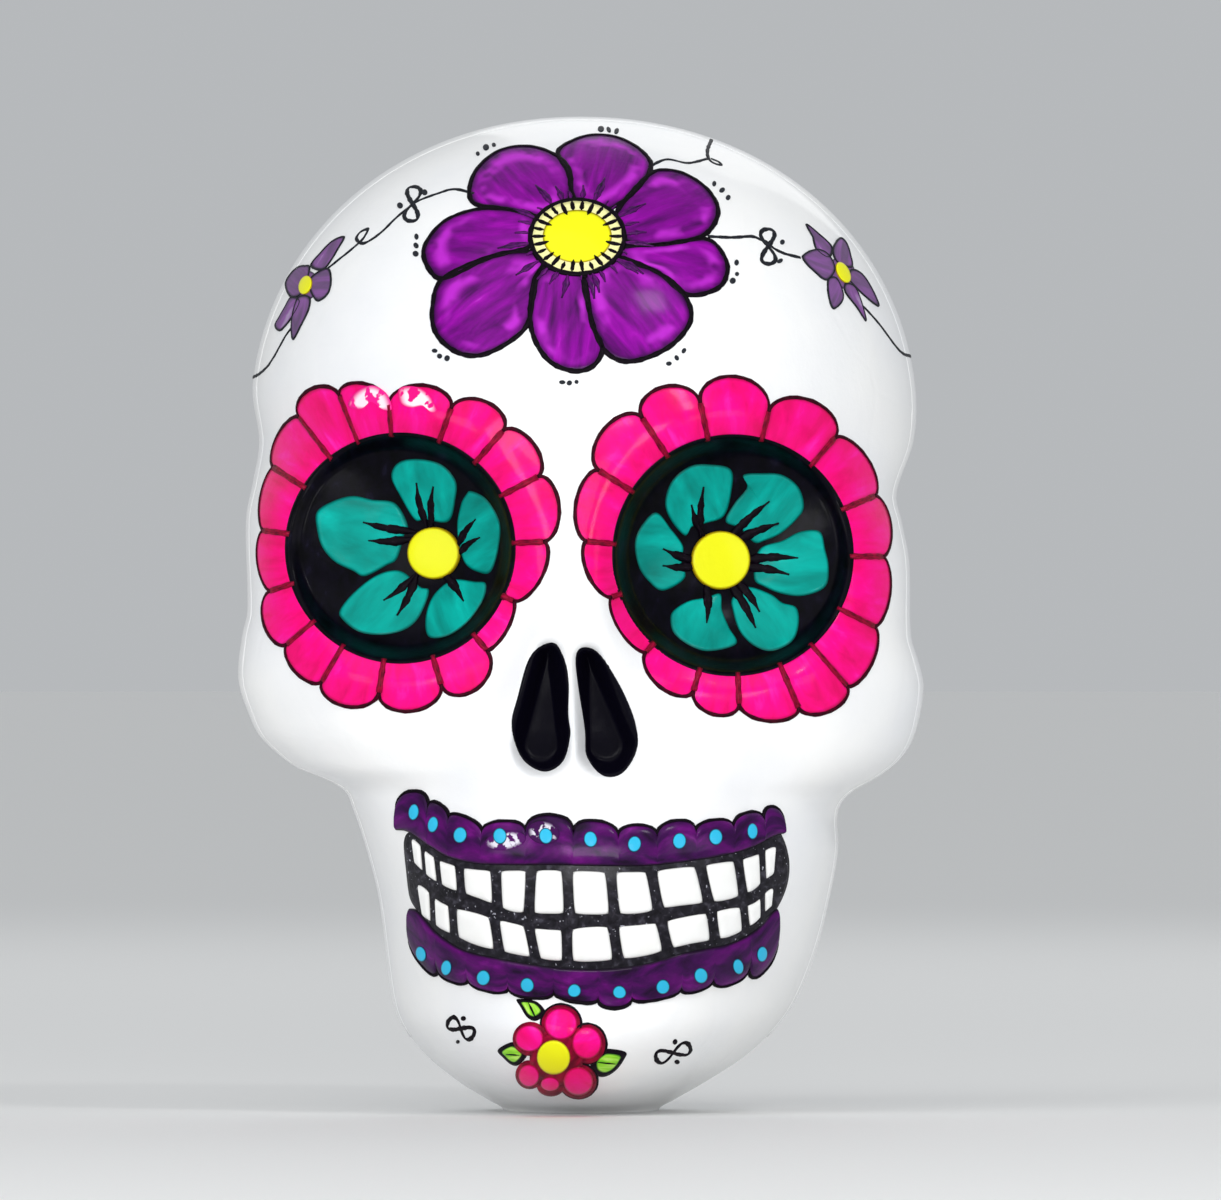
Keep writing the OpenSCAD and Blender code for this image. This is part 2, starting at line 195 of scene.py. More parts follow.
# %% The whole surface
def skin(a, z, inset=0.0):
    """Point of the head at angle a (degrees: 0 nose, 90 its left side, 180 back) and height z.
    In front the oval is a superellipse x = w sin a, y = m - f (1 - s^p)^(1/p) less the relief;
    behind its widest line it is a half ellipse whose width eases to that of the back."""
    a, z = np.broadcast_arrays(np.asarray(a, float), np.asarray(z, float))
    turn = np.radians((a + 180) % 360 - 180)
    up = np.maximum(0, z - CROWN_Z) / (CROWN_RISE - inset)
    d = arc(np.minimum(1, up), DOME_POWER)
    m = at(z, WIDEST_Y)
    w = np.where(turn < 0, at(z, RIGHT_HALF), at(z, LEFT_HALF)) - inset
    w = w * d
    front = (m - at(z, FRONT_Y) - inset) * d
    back = (at(z, BACK_Y) - m - inset) * d
    s = np.minimum(1, np.abs(np.sin(turn)))
    p = at(z, SQUARENESS)
    x_front = w * np.sin(turn)
    y_front = m - front * arc(s, p) - relief(x_front, z) * (1 - s**6)
    c = np.clip(-np.cos(turn), 0, 1)
    wide = (at(z, BACK_HALF) - inset) * d
    x_back = np.sign(turn) * (wide + (w - wide) * (1 - ease(2 * c))) * np.sqrt(1 - c * c)
    y_back = m + back * c
    behind = np.abs(turn) > np.pi / 2
    return beside(np.where(behind, x_back, x_front), np.where(behind, y_back, y_front), z)


def angle_of(x, z):
    """Angle on the face at which the surface passes through x at height z."""
    up = np.maximum(0, z - CROWN_Z) / CROWN_RISE
    w = np.where(x < 0, at(z, RIGHT_HALF), at(z, LEFT_HALF)) * arc(np.minimum(1, up), DOME_POWER)
    return np.degrees(np.arcsin(np.clip(x / np.maximum(w, 1e-6), -1, 1)))


def normal(a, z):
    """Outward direction of the surface, the cross product of two short steps along it."""
    across = skin(a + 0.25, z) - skin(a - 0.25, z)
    upward = skin(a, z + 0.25) - skin(a, z - 0.25)
    n = np.cross(across, upward)
    return n / np.maximum(np.linalg.norm(n, axis=-1, keepdims=True), 1e-9)


def lifted(a, z, lift):
    """Points lifted off the surface along its normal."""
    return skin(a, z) + normal(a, z) * np.asarray(lift)[..., None]


print("nose tip at y", np.round(skin(0, 128.0)[1], 1), "brow at y", np.round(skin(0, CROWN_Z)[1], 1))

# %% [markdown]
# ## From arrays to meshes
# Blender stores a mesh as three flat lists: corner points, the point each face corner uses, and
# where each face starts. Writing whole arrays into those lists is far quicker than adding faces
# one by one, so every piece below goes through this one helper.

# %% One helper that makes a mesh object
def put_mesh(name, points, faces, uv=None, marks=None):
    """Object from points (n by 3, drawing units) and a list of face arrays (quads or triangles).
    uv is one pair per point; marks is a dict of attributes with one number per point."""
    mesh = bpy.data.meshes.new(name)
    corners = np.concatenate([f.ravel() for f in faces]).astype(np.int32)
    sizes = np.concatenate([np.full(len(f), f.shape[1]) for f in faces])
    starts = np.concatenate([[0], np.cumsum(sizes)[:-1]]).astype(np.int32)
    mesh.vertices.add(len(points))
    mesh.loops.add(len(corners))
    mesh.polygons.add(len(sizes))
    mesh.vertices.foreach_set("co", (np.asarray(points) * UNIT).astype(np.float32).ravel())
    mesh.loops.foreach_set("vertex_index", corners)
    mesh.polygons.foreach_set("loop_start", starts)
    mesh.polygons.foreach_set("use_smooth", np.ones(len(sizes), bool))
    if uv is not None:
        layer = mesh.uv_layers.new(name="UVMap")
        layer.data.foreach_set("uv", np.asarray(uv, np.float32)[corners].ravel())
    for mark, values in (marks or {}).items():
        layer = mesh.attributes.new(mark, "FLOAT", "POINT")
        layer.data.foreach_set("value", np.asarray(values, np.float32))
    mesh.update(calc_edges=True)
    mesh.validate()
    piece = bpy.data.objects.new(name, mesh)
    bpy.context.scene.collection.objects.link(piece)
    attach(piece, "root")
    print(name, len(points), "points,", len(sizes), "faces")
    return piece


def grid_faces(rows, cols, first=0, wrap=False, flip=False):
    """Quads of a grid of points numbered row by row; wrap joins the last column to the first."""
    j, i = np.meshgrid(np.arange(rows - 1), np.arange(cols if wrap else cols - 1), indexing="ij")
    k = (i + 1) % cols
    quads = beside(j * cols + i, j * cols + k, (j + 1) * cols + k, (j + 1) * cols + i).reshape(-1, 4)
    return (quads[:, ::-1] if flip else quads) + first


# %% [markdown]
# ## The paper shells
# Each half is a real wall: an outer skin, an inner skin 4 units inside it, and an edge that joins
# them along the parting line and round the neck. The inner skin is never seen, so it has half as
# many rows and columns, and each of its edge steps is stitched to two steps of the outer skin.

# %% Room for the black paint
TUCK = 0.7                             # depth of the bare paper under black paint


def tuck(x, z):
    """How far the bare paper lies back under the black paint of the eyes and the nose, so that
    the flat facets of the two never cut through each other. It starts just inside the paint."""
    deep = sum(ease((r + 0.2 - np.hypot(x - eye[0], z - eye[1])) / 2) for eye, r in EYES)
    return TUCK * (deep + sum(ease(-0.4 - teardrop(x, z, *hole) / 1.5) for hole in NOSTRILS))


print("bare paper lies back by", round(float(tuck(*RIGHT_EYE)), 2), "units in the eye")


# %% A half shell as one closed mesh
def open_border(rows, cols, first=0):
    """Numbers of a grid's points down its first column, along its first row and up its last."""
    return first + np.concatenate([np.arange(rows - 1, 0, -1) * cols, np.arange(cols),
                                   np.arange(1, rows) * cols + cols - 1])


def half_shell(name, angles, levels, domes, tucked=False):
    """Closed wall over the given angles. levels are heights up to the dome, domes are angles of
    elevation on it; the last row closes to the crown."""
    def one_skin(a, zs, ds, inset):
        z = np.concatenate([zs + inset * (1 - ease(zs / 30)),
                            CROWN_Z + (CROWN_RISE - inset) * np.sin(np.radians(ds))])
        neck = beside(NECK_R * np.sin(np.radians(a)), NECK_Y - NECK_R * np.cos(np.radians(a)), inset)
        return np.concatenate([neck[None], skin(a[None, :], z[:, None], inset)])

    outer = one_skin(angles, levels, domes, 0.0)
    if tucked:
        outer[..., 1] += tuck(outer[..., 0], outer[..., 2])
    inner = one_skin(angles[::2], levels[1::2], domes[1::2], WALL)
    rows, cols = outer.shape[:2]
    few, slim = inner.shape[:2]
    n, m = rows * cols, few * slim
    top_out, top_in = n + m, n + m + 1
    crown_y = at(CROWN_Z, WIDEST_Y)
    points = np.concatenate([outer.reshape(-1, 3), inner.reshape(-1, 3),
                             [[0, crown_y, DRAWN_H], [0, crown_y, DRAWN_H - WALL]]])
    last = (rows - 1) * cols + np.arange(cols)
    last_in = n + (few - 1) * slim + np.arange(slim)
    cap = beside(last[:-1], last[1:], top_out)
    cap_in = beside(last_in[1:], last_in[:-1], top_in)
    border, border_in = open_border(rows, cols), open_border(few, slim, n)
    near, mid, far = border[0:-1:2], border[1::2], border[2::2]
    edge_a, edge_b = border_in[:-1], border_in[1:]
    stitch = np.concatenate([beside(near, edge_a, mid), beside(mid, edge_a, edge_b),
                             beside(mid, edge_b, far)])
    ends = np.array([[border[-1], border_in[-1], top_in], [border[-1], top_in, top_out],
                     [top_out, top_in, border_in[0]], [top_out, border_in[0], border[0]]])
    faces = [grid_faces(rows, cols), grid_faces(few, slim, n, flip=True),
             np.concatenate([cap, cap_in, stitch, ends])]
    return put_mesh(name, points, faces)


# %% The two halves
LEVELS = CROWN_Z * (np.arange(160) / 160) ** 1.25    # closest at the narrow neck
DOMES = np.linspace(1.4, 88.5, 61)[1:]
share = np.linspace(-1, 1, 221)                      # the power packs the columns closer at the nose
face = half_shell("face_skin", 90 * np.sign(share) * np.abs(share) ** 1.15, LEVELS, DOMES, tucked=True)
back = half_shell("back_skin", np.linspace(90, 270, 161), LEVELS, DOMES)
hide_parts("face_shell")
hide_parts("back_shell")

# %% [markdown]
# ## Paint as thin closed films
# On the real head every petal and line is a coat of thick gloss paint that stands a little proud
# of the paper. It could be drawn with a colour pattern on the shell, but then it would have no
# edge to catch the light. So each patch of colour is its own thin film: a grid of places on the
# head whose top is lifted off the skin and whose underside is hidden just under it. A place is a
# pair (a, z), so a film follows every hollow of the head by itself.

# %% Closed films
ONE_COAT = 0.13         # height of a plain coat of paint over the skin
SINK = 0.35             # how far the hidden side of a film lies under the skin
STRIP_W = 26.0          # width of the paper strip over the joint of the halves
STRIP_TOP = 0.38        # height of that strip at its middle
STRIP_EDGE = 0.03       # and at its borders
STRIP_FADE = 1.5        # width, past its borders, over which the paint comes down to the skin


def outward(points, faces):
    """Faces turned so that the closed part holds a positive volume, which is the sum over its
    triangles of p0 . (p1 x p2) / 6."""
    p = points - points.mean(0)
    tris = np.concatenate([f[:, [0, i, i + 1]] for f in faces for i in range(1, f.shape[1] - 1)])
    volume = (p[tris[:, 0]] * np.cross(p[tris[:, 1]], p[tris[:, 2]])).sum()
    return faces if volume > 0 else [f[:, ::-1] for f in faces]


def slab(top, low, uv, edge=0.0, tint=0.0, round_grid=False):
    """Closed part between two grids of points. With round_grid the columns run round and the
    first row closes to a middle point; otherwise a wall joins the grids along all four sides."""
    rows, cols = top.shape[:2]
    n = rows * cols
    k = np.arange(cols)
    points = [top.reshape(-1, 3), low.reshape(-1, 3)]
    uvs = [np.broadcast_to(uv, (rows, cols, 2)).reshape(-1, 2)] * 2
    marks = [np.tile(np.broadcast_to(v, (rows, cols)).reshape(-1), 2) for v in (edge, tint)]
    faces = [grid_faces(rows, cols, wrap=round_grid), grid_faces(rows, cols, n, wrap=round_grid, flip=True)]
    if round_grid:
        after = (k + 1) % cols
        here, there = (rows - 1) * cols + k, (rows - 1) * cols + after
        points.append(np.stack([top[0].mean(0), low[0].mean(0)]))
        uvs.append(np.tile(uvs[0][:cols].mean(0), (2, 1)))
        marks = [np.append(v, [v[0], v[0]]) for v in marks]
        faces += [beside(here, there, n + there, n + here), beside(2 * n, after, k),
                  beside(2 * n + 1, n + k, n + after)]
    else:
        here = np.concatenate([k, np.arange(1, rows) * cols + cols - 1, (rows - 1) * cols + k[-2::-1],
                               np.arange(rows - 2, 0, -1) * cols])
        there = np.roll(here, -1)
        faces.append(beside(there, here, n + here, n + there))
    points = np.concatenate(points)
    return points, outward(points, faces), np.concatenate(uvs), marks[0], marks[1]


def swell(off):
    """Height of the strip, off its middle line: STRIP_EDGE at its borders, and from there to its
    middle a low rise, one less the square of the share of the half width."""
    return STRIP_EDGE + (STRIP_TOP - STRIP_EDGE) * (1 - np.minimum(1, 2 * np.abs(off) / STRIP_W) ** 2)


def coat(a, z):
    """Height of the paper strip over the joint, which paint has to climb: it fades to nothing
    just past the strip's borders, in front of the widest line and behind it."""
    off = np.abs(skin(a, z)[..., 1] - at(z, WIDEST_Y))
    return swell(off) * ease((STRIP_W / 2 + STRIP_FADE - off) / STRIP_FADE)


def film(place, lift, uv, **more):
    """Film of paint over a grid of places, its top lifted off the skin and its underside sunk."""
    a, z = place[..., 0], place[..., 1]
    height = np.broadcast_to(lift, a.shape) + coat(a, z)
    return slab(lifted(a, z, height), lifted(a, z, np.full(a.shape, -SINK)), uv, **more)


# %% Closed lines
# Section of a painted line: across in half widths, and up in heights where it is above 0.
BEAD = np.array([[-1, -1], [-0.92, 0.45], [-0.5, 1], [0.5, 1], [0.92, 0.45], [1, -1]])


def stroke(path, width, lift=0.24, closed=False, tint=0.0, taper=0.0, shake=0.12):
    """Painted line along a path of places: a low bead, six points round, carried along the path
    with its width across it and its height along the skin's normal. The width shakes a little, as
    a hand does, and narrows over the length taper at both ends."""
    a, z = np.asarray(path).T
    p, n = skin(a, z), normal(a, z)
    along = np.roll(p, -1, 0) - np.roll(p, 1, 0) if closed else np.gradient(p, axis=0)
    along /= np.maximum(np.linalg.norm(along, axis=1, keepdims=True), 1e-9)
    side = np.cross(along, n)
    run = np.concatenate([[0], np.cumsum(np.linalg.norm(np.diff(p, axis=0), axis=1))])
    half = width / 2 * (1 + shake * (np.sin(run * 1.3 + z[0]) + 0.6 * np.sin(run * 2.9 + a[0])))
    if taper:
        half = half * (0.25 + 0.75 * ease(np.minimum(run, run[-1] - run) / taper))
    across = half[:, None] * BEAD[:, 0]
    rise = np.where(BEAD[:, 1] > 0, coat(a, z)[:, None] + lift * BEAD[:, 1], -SINK)
    points = (p[:, None] + side[:, None] * across[..., None] + n[:, None] * rise[..., None]).reshape(-1, 3)
    rows, six = len(p), len(BEAD)
    faces = [grid_faces(rows, six, wrap=True)]
    last = (rows - 1) * six
    if closed:
        k = np.arange(six)
        after = (k + 1) % six
        faces.append(beside(last + k, last + after, after, k))
    else:
        end = np.array([[0, 1, 2, 3], [0, 3, 4, 5]])
        faces += [end[:, ::-1], end + last]
    uv = beside(BEAD[:, 0], run[:, None] / 10).reshape(-1, 2)
    edge = np.broadcast_to(np.abs(BEAD[:, 0]), (rows, six)).reshape(-1)
    return points, outward(points, faces), uv, edge, np.full(len(points), float(tint))


# %% One object from many parts
def paint(name, parts, material, node=None):
    """One object from many closed parts, in one finish; node is the CAD node it stands for."""
    starts = np.cumsum([0] + [len(p[0]) for p in parts])
    faces = [f + first for p, first in zip(parts, starts) for f in p[1]]
    points, uv, edge, tint = (np.concatenate([p[i] for p in parts]) for i in (0, 2, 3, 4))
    piece = put_mesh(name, points, faces, uv, {"edge": edge, "tint": tint})
    piece.data.materials.append(material)
    if node:
        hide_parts(node)
    return piece


# %% [markdown]
# ## Drawing on the face
# The painter's outlines are free curves, so each is kept as the few points that the hand passed
# through, in units across and up the face, with a smooth curve between them.

# %% Smooth outlines and places
def smooth(points, closed=False, steps=9):
    """Catmull-Rom curve: between two points, a cubic whose slopes follow their neighbours."""
    p = np.asarray(points, float)
    p = np.vstack([p[-1], p, p[:2]]) if closed else np.vstack([2 * p[0] - p[1], p, 2 * p[-1] - p[-2]])
    a, b, c, d = (p[i:len(p) - 3 + i, None] for i in range(4))
    t = (np.arange(steps) / steps)[:, None]
    curve = b + (c - a) * t / 2 + (a - 2.5 * b + 2 * c - d / 2) * t**2
    curve = (curve + (1.5 * (b - c) + (d - a) / 2) * t**3).reshape(-1, 2)
    return curve if closed else np.vstack([curve, p[-2]])


def on_face(points):
    """Places (a, z) of points (x, z) on the face."""
    p = np.asarray(points, float)
    return beside(angle_of(p[..., 0], p[..., 1]), p[..., 1])


def around(a, z):
    """Function that turns points (across, up), in units, into places round the place (a, z)."""
    turn = 1 / np.linalg.norm(skin(a + 0.5, z) - skin(a - 0.5, z))
    return lambda points: np.asarray(points, float) * [turn, 1] + [a, z]


# %% Petals and other shapes
def petal(outline, root, lift=ONE_COAT, dome=0.0, tint=0.0, rings=9, where=on_face):
    """Film inside a closed outline: rings that shrink to its middle. Its UV runs across and along
    the line from the flower's root through the middle, so that brush streaks follow the petal."""
    loop = np.asarray(outline, float)
    middle = loop.mean(0)
    share = ((np.arange(rings) + 1) / rings)[:, None, None]
    grid = middle + (loop - middle) * share
    axis = (middle - root) / max(np.hypot(*(middle - root)), 1e-6)
    off = grid - root
    uv = beside(off[..., 0] * axis[1] - off[..., 1] * axis[0], off @ axis) / 10
    edge = np.broadcast_to(share[..., 0], grid.shape[:2])
    return film(where(grid), lift + dome * (1 - edge**2), uv, edge=edge, tint=tint, round_grid=True)


def turned(x, z, turn, middle):
    """Points (x, z) turned by so many degrees and moved to the middle."""
    c, s = np.cos(np.radians(turn)), np.sin(np.radians(turn))
    return beside(x * c - z * s, x * s + z * c) + middle


def oval(middle, rx, rz, turn=0.0, n=28):
    """Closed oval outline round a middle point: across rx cos t, up and down rz sin t."""
    t = circle(n)
    return turned(rx * np.cos(t), rz * np.sin(t), turn, middle)


def figure_eight(middle, size, turn, narrow=0.5):
    """Closed figure of eight: across sin t, up and down sin 2t."""
    t = circle(20)
    return turned(size * np.sin(t), size * narrow * np.sin(2 * t), turn, middle)


def patches(outlines, lift, dome=0.0, tint=0.0, rings=9):
    """Films inside closed outlines, each brushed from its own middle; their tints differ by tint."""
    return [petal(o, o.mean(0), lift, dome, tint * i, rings) for i, o in enumerate(outlines)]


def line(points, width=1.0, closed=False, where=on_face, **more):
    """Brush line through points on the face, or through points placed by another function."""
    return stroke(where(smooth(points, closed)), width, closed=closed, **more)


def dots(middles, r=0.8, **more):
    """Small round touches of the brush, each a little different in width, height and turn."""
    return [petal(oval(m, r * (1 + 0.25 * np.sin(7 * m[0])), r * (1 + 0.2 * np.cos(5 * m[1])), 31 * i, 14),
                  np.array(m) - 1, 0.22, rings=3, **more) for i, m in enumerate(middles)]


print("a circle on the brow spans", np.round(np.ptp(on_face(oval((0, 240), 10, 10))[:, 0]), 1), "degrees")

# %% [markdown]
# ## Finishes
# Gloss enamel over chalk-white primer. Every finish is built by the same few steps: a noise that
# is stretched along the brush's direction picks a colour from a short ramp, the edge of the patch
# is darkened by its own mark, and a fine noise roughens the surface so that highlights break up.
# The same nodes come back in every finish, so each kind gets a short helper first.

# %% Node helpers
bpy.context.scene.view_settings.view_transform = "Standard"     # shows the paint's colours as mixed


def tone(r, g, b):
    """Colour as mixed on a screen, 0 to 255, as the linear numbers that shaders use."""
    c = np.array([r, g, b]) / 255
    return (*np.where(c <= 0.04045, c / 12.92, ((c + 0.055) / 1.055) ** 2.4), 1.0)


def feed(tree, node, inputs):
    """Gives a node's sockets, by name or number, a value or the output that feeds them."""
    for key, value in inputs.items():
        if isinstance(value, bpy.types.NodeSocket):
            tree.links.new(value, node.inputs[key])
        else:
            node.inputs[key].default_value = value


def add(tree, kind, inputs=None, **settings):
    """New node of a kind, with its settings and its fed inputs."""
    new = tree.nodes.new(kind)
    for key, value in settings.items():
        setattr(new, key, value)
    feed(tree, new, inputs or {})
    return new


def noise(tree, place, scale, detail, more=None, **settings):
    """Value of a noise at a place; more holds its other inputs."""
    inputs = {"Vector": place, "Scale": scale, "Detail": detail, **(more or {})}
    return add(tree, "ShaderNodeTexNoise", inputs, **settings).outputs["Fac"]


def stretched(tree, place, scale):
    """Coordinates multiplied by three scales."""
    return add(tree, "ShaderNodeMapping", {"Vector": place, "Scale": scale}).outputs["Vector"]


def mark(tree, name):
    """Value of one of the marks that paint puts on a mesh."""
    return add(tree, "ShaderNodeAttribute", attribute_name=name).outputs["Fac"]


def ramp(tree, share, stops):
    """Colour ramp through the stops [(share, (r, g, b)), ...]."""
    new = add(tree, "ShaderNodeValToRGB", {"Fac": share})
    band = new.color_ramp.elements
    band[0].position, band[1].position = stops[0][0], stops[-1][0]
    band[0].color, band[1].color = tone(*stops[0][1]), tone(*stops[-1][1])
    for place, colour in stops[1:-1]:
        band.new(place).color = tone(*colour)
    return new.outputs["Color"]


def mix(tree, share, colour, other):
    """The colour where share is 0, and the other, three numbers r, g and b, where it is 1."""
    return add(tree, "ShaderNodeMix", {0: share, 6: colour, 7: tone(*other)}, data_type="RGBA").outputs[2]


def between(tree, value, start, end):
    """0 up to start, 1 from end on and a smooth step between."""
    return add(tree, "ShaderNodeMapRange", {"Value": value, "From Min": start, "From Max": end},
               interpolation_type="SMOOTHSTEP").outputs["Result"]


def product(tree, one, other):
    """One value times the other."""
    return add(tree, "ShaderNodeMath", {0: one, 1: other}, operation="MULTIPLY").outputs[0]


def dented(tree, height, strength, distance, under=None):
    """Normal bent by a height of some metres, on top of the normal under it."""
    inputs = {"Height": height, "Strength": strength, "Distance": distance}
    if under:
        inputs["Normal"] = under
    return add(tree, "ShaderNodeBump", inputs).outputs["Normal"]


def new_finish(name):
    """Material with its node tree and its Principled shader."""
    finish = bpy.data.materials.new(name)
    finish.use_nodes = True
    return finish, finish.node_tree, finish.node_tree.nodes["Principled BSDF"]


print("black line as a shader reads it:", np.round(tone(4, 0, 6), 4))


# %% Enamel
def enamel(name, stops, grain=(4.0, 0.5), rim=None, rim_from=0.75, stroke_and_sheen=None,
           glints=None, glint_scale=900.0, glint_from=0.68,
           rough=0.3, gloss=0.15, shine=0.08, lump=260.0, lump_height=0.00025):
    """Brushed gloss paint. stops are the colours along the streak noise, and grain is the noise's scale
    across and along the brush. rim is the colour that the patch turns to at its edge, from the share rim_from
    on, and stroke_and_sheen that of lighter broken strokes just inside the edge, partly brush strokes and
    partly painted sheen. glints is the colour of painted glints, dots where a noise of glint_scale is over
    glint_from. rough, gloss and shine are the paint's roughness, varnish and reflection, and lump is the
    scale of its fine dents."""
    finish, tree, shader = new_finish(name)
    coords = add(tree, "ShaderNodeTexCoord").outputs
    edge = mark(tree, "edge")
    streak = noise(tree, stretched(tree, coords["UV"], (*grain, 1.0)), 1.0, 4.0,
                   {"W": mark(tree, "tint"), "Distortion": 0.5}, noise_dimensions="4D")
    colour = ramp(tree, streak, stops)
    # Lighter broken strokes just inside the edge: partly brush strokes, partly painted sheen.
    if stroke_and_sheen:
        inside = product(tree, between(tree, edge, 0.5, 0.7), between(tree, edge, 0.9, 0.74))
        breaks = between(tree, noise(tree, coords["Object"], 85.0, 2.0), 0.47, 0.62)
        colour = mix(tree, product(tree, inside, breaks), colour, stroke_and_sheen)
    if rim:
        colour = mix(tree, between(tree, edge, rim_from, 1.0), colour, rim)
    # Painted glints: small pale dots where a fine noise is high, fewer towards the edge of the patch.
    if glints:
        glint_mask = noise(tree, coords["Object"], glint_scale, 2.0)
        glint_mask = product(tree, between(tree, glint_mask, glint_from, glint_from + 0.06),
                        between(tree, edge, 1.0, 0.6))
        colour = mix(tree, glint_mask, colour, glints)
    lumps = noise(tree, coords["Object"], lump, 5.0)
    feed(tree, shader, {"Base Color": colour, "Normal": dented(tree, lumps, 0.5, lump_height),
                        "Roughness": rough, "Specular IOR Level": shine,
                        "Coat Weight": gloss, "Coat Roughness": 0.12})
    return finish


# %% [markdown]
# Each paint of the head is one call. The petals have the richest streaks, because the painter
# loaded the brush with a lighter and a darker colour at once; lines are matt and nearly plain.

# %% The paints
# The sixth colour of the purple gives lighter broken strokes inside the petal edges, partly painted sheen.
PURPLE = enamel("purple_enamel",
                [(0.26, (56, 0, 70)), (0.42, (106, 0, 120)), (0.58, (136, 0, 150)), (0.68, (160, 6, 172)),
                 (0.78, (196, 56, 206))], (3.2, 0.7), (40, 0, 54), 0.84, (186, 40, 200),
                rough=0.34, gloss=0.12)
PINK = enamel("pink_enamel",
              [(0.28, (224, 0, 92)), (0.46, (246, 0, 120)), (0.6, (252, 0, 140)), (0.74, (255, 36, 176))],
              (2.2, 0.9), (170, 0, 50), 0.82, gloss=0.14)
TEAL = enamel("turquoise_enamel",
              [(0.28, (0, 126, 116)), (0.45, (0, 150, 139)), (0.6, (0, 172, 160)), (0.76, (8, 200, 186))],
              (1.6, 0.6), (0, 96, 88), 0.93, rough=0.4, gloss=0.08, shine=0.05)
YELLOW = enamel("yellow_enamel", [(0.3, (232, 214, 0)), (0.5, (246, 238, 0)), (0.7, (236, 246, 40))],
                (3, 3), (170, 140, 0), 0.92)
PALE_YELLOW = enamel("pale_yellow_enamel", [(0.3, (246, 236, 110)), (0.7, (252, 250, 196))], (5, 5))
LIME = enamel("lime_enamel", [(0.35, (98, 186, 30)), (0.5, (150, 220, 50)), (0.65, (196, 240, 110))],
              (5, 1), (70, 130, 30), 0.85, rough=0.22, shine=0.1)
BLACK = enamel("black_enamel", [(0.35, (2, 2, 5)), (0.62, (8, 6, 18)), (0.76, (24, 22, 40))], (3, 2),
               gloss=0.03, shine=0.05, lump=140.0, lump_height=0.0005)
LINE = enamel("black_line", [(0.35, (4, 0, 6)), (0.6, (14, 4, 16)), (0.74, (40, 30, 44))], (2, 6),
              rough=0.5, gloss=0.0)
MAROON = enamel("maroon_line", [(0.35, (20, 0, 8)), (0.65, (72, 0, 26))], (2, 5), rough=0.5, gloss=0.0)
FINE_LINE = enamel("marker_line", [(0.35, (10, 11, 16)), (0.65, (44, 47, 54))], (2, 5),
                   rough=0.5, gloss=0.0, shine=0.1)
DARK_RED = enamel("dark_red_line", [(0.35, (92, 0, 30)), (0.65, (160, 0, 50))], (2, 5),
                  rough=0.45, gloss=0.05)
CYAN = enamel("cyan_enamel", [(0.35, (30, 160, 205)), (0.65, (55, 195, 235))], (5, 5), (8, 30, 60), 0.78,
              rough=0.35, gloss=0.12, shine=0.1)
MAUVE = enamel("mauve_wash",
               [(0.3, (92, 74, 104)), (0.5, (116, 82, 130)), (0.65, (140, 88, 158)), (0.75, (176, 156, 190))],
               (5, 1), (66, 58, 76), 0.8, rough=0.5, gloss=0.05, shine=0.1)
GUM = enamel("gum_enamel",
             [(0.3, (24, 2, 34)), (0.45, (56, 4, 72)), (0.6, (88, 2, 100)), (0.74, (124, 20, 134))],
             (1.2, 3), (14, 4, 20), 0.7)
# The pale dots of the black paint between the teeth are painted glints.
MOUTH_BLACK = enamel("tooth_line_paint", [(0.35, (10, 8, 16)), (0.55, (30, 28, 36)), (0.7, (64, 62, 72))],
                     (5, 5), glints=(170, 170, 182), rough=0.35, shine=0.1, lump=420.0, lump_height=0.0006)
# Painted highlight: pink with pale dots, for the glare on two petals of the ring.
GLARE_PINK = enamel("pink_glare_paint", [(0.4, (250, 0, 124)), (0.6, (253, 30, 150))], glints=(255, 236, 246),
                   glint_scale=300.0, glint_from=0.44, rough=0.4, gloss=0.1, shine=0.1)
# Painted highlight: dark purple with pale dots, for the glare on the upper gum.
GLARE_PURPLE = enamel("purple_glare_paint", [(0.4, (52, 4, 66)), (0.6, (84, 6, 98))], glints=(226, 222, 234),
                     glint_scale=420.0, glint_from=0.5, rough=0.5, gloss=0.05, shine=0.1)
TOOTH = enamel("tooth_white", [(0.3, (246, 246, 243)), (0.7, (253, 253, 252))], (2, 1),
               (206, 205, 202), 0.95, rough=0.42, gloss=0.2, shine=0.5)
print(len(bpy.data.materials), "finishes")

# %% [markdown]
# ## The flower on the forehead
# Eight fat purple petals round a yellow disc. Each petal is its own film with its own outline in
# near-black, and its streaks run out from the middle of the flower. Dark strokes shade the roots
# of the petals, and the disc has a pale rim that short black rays cross.

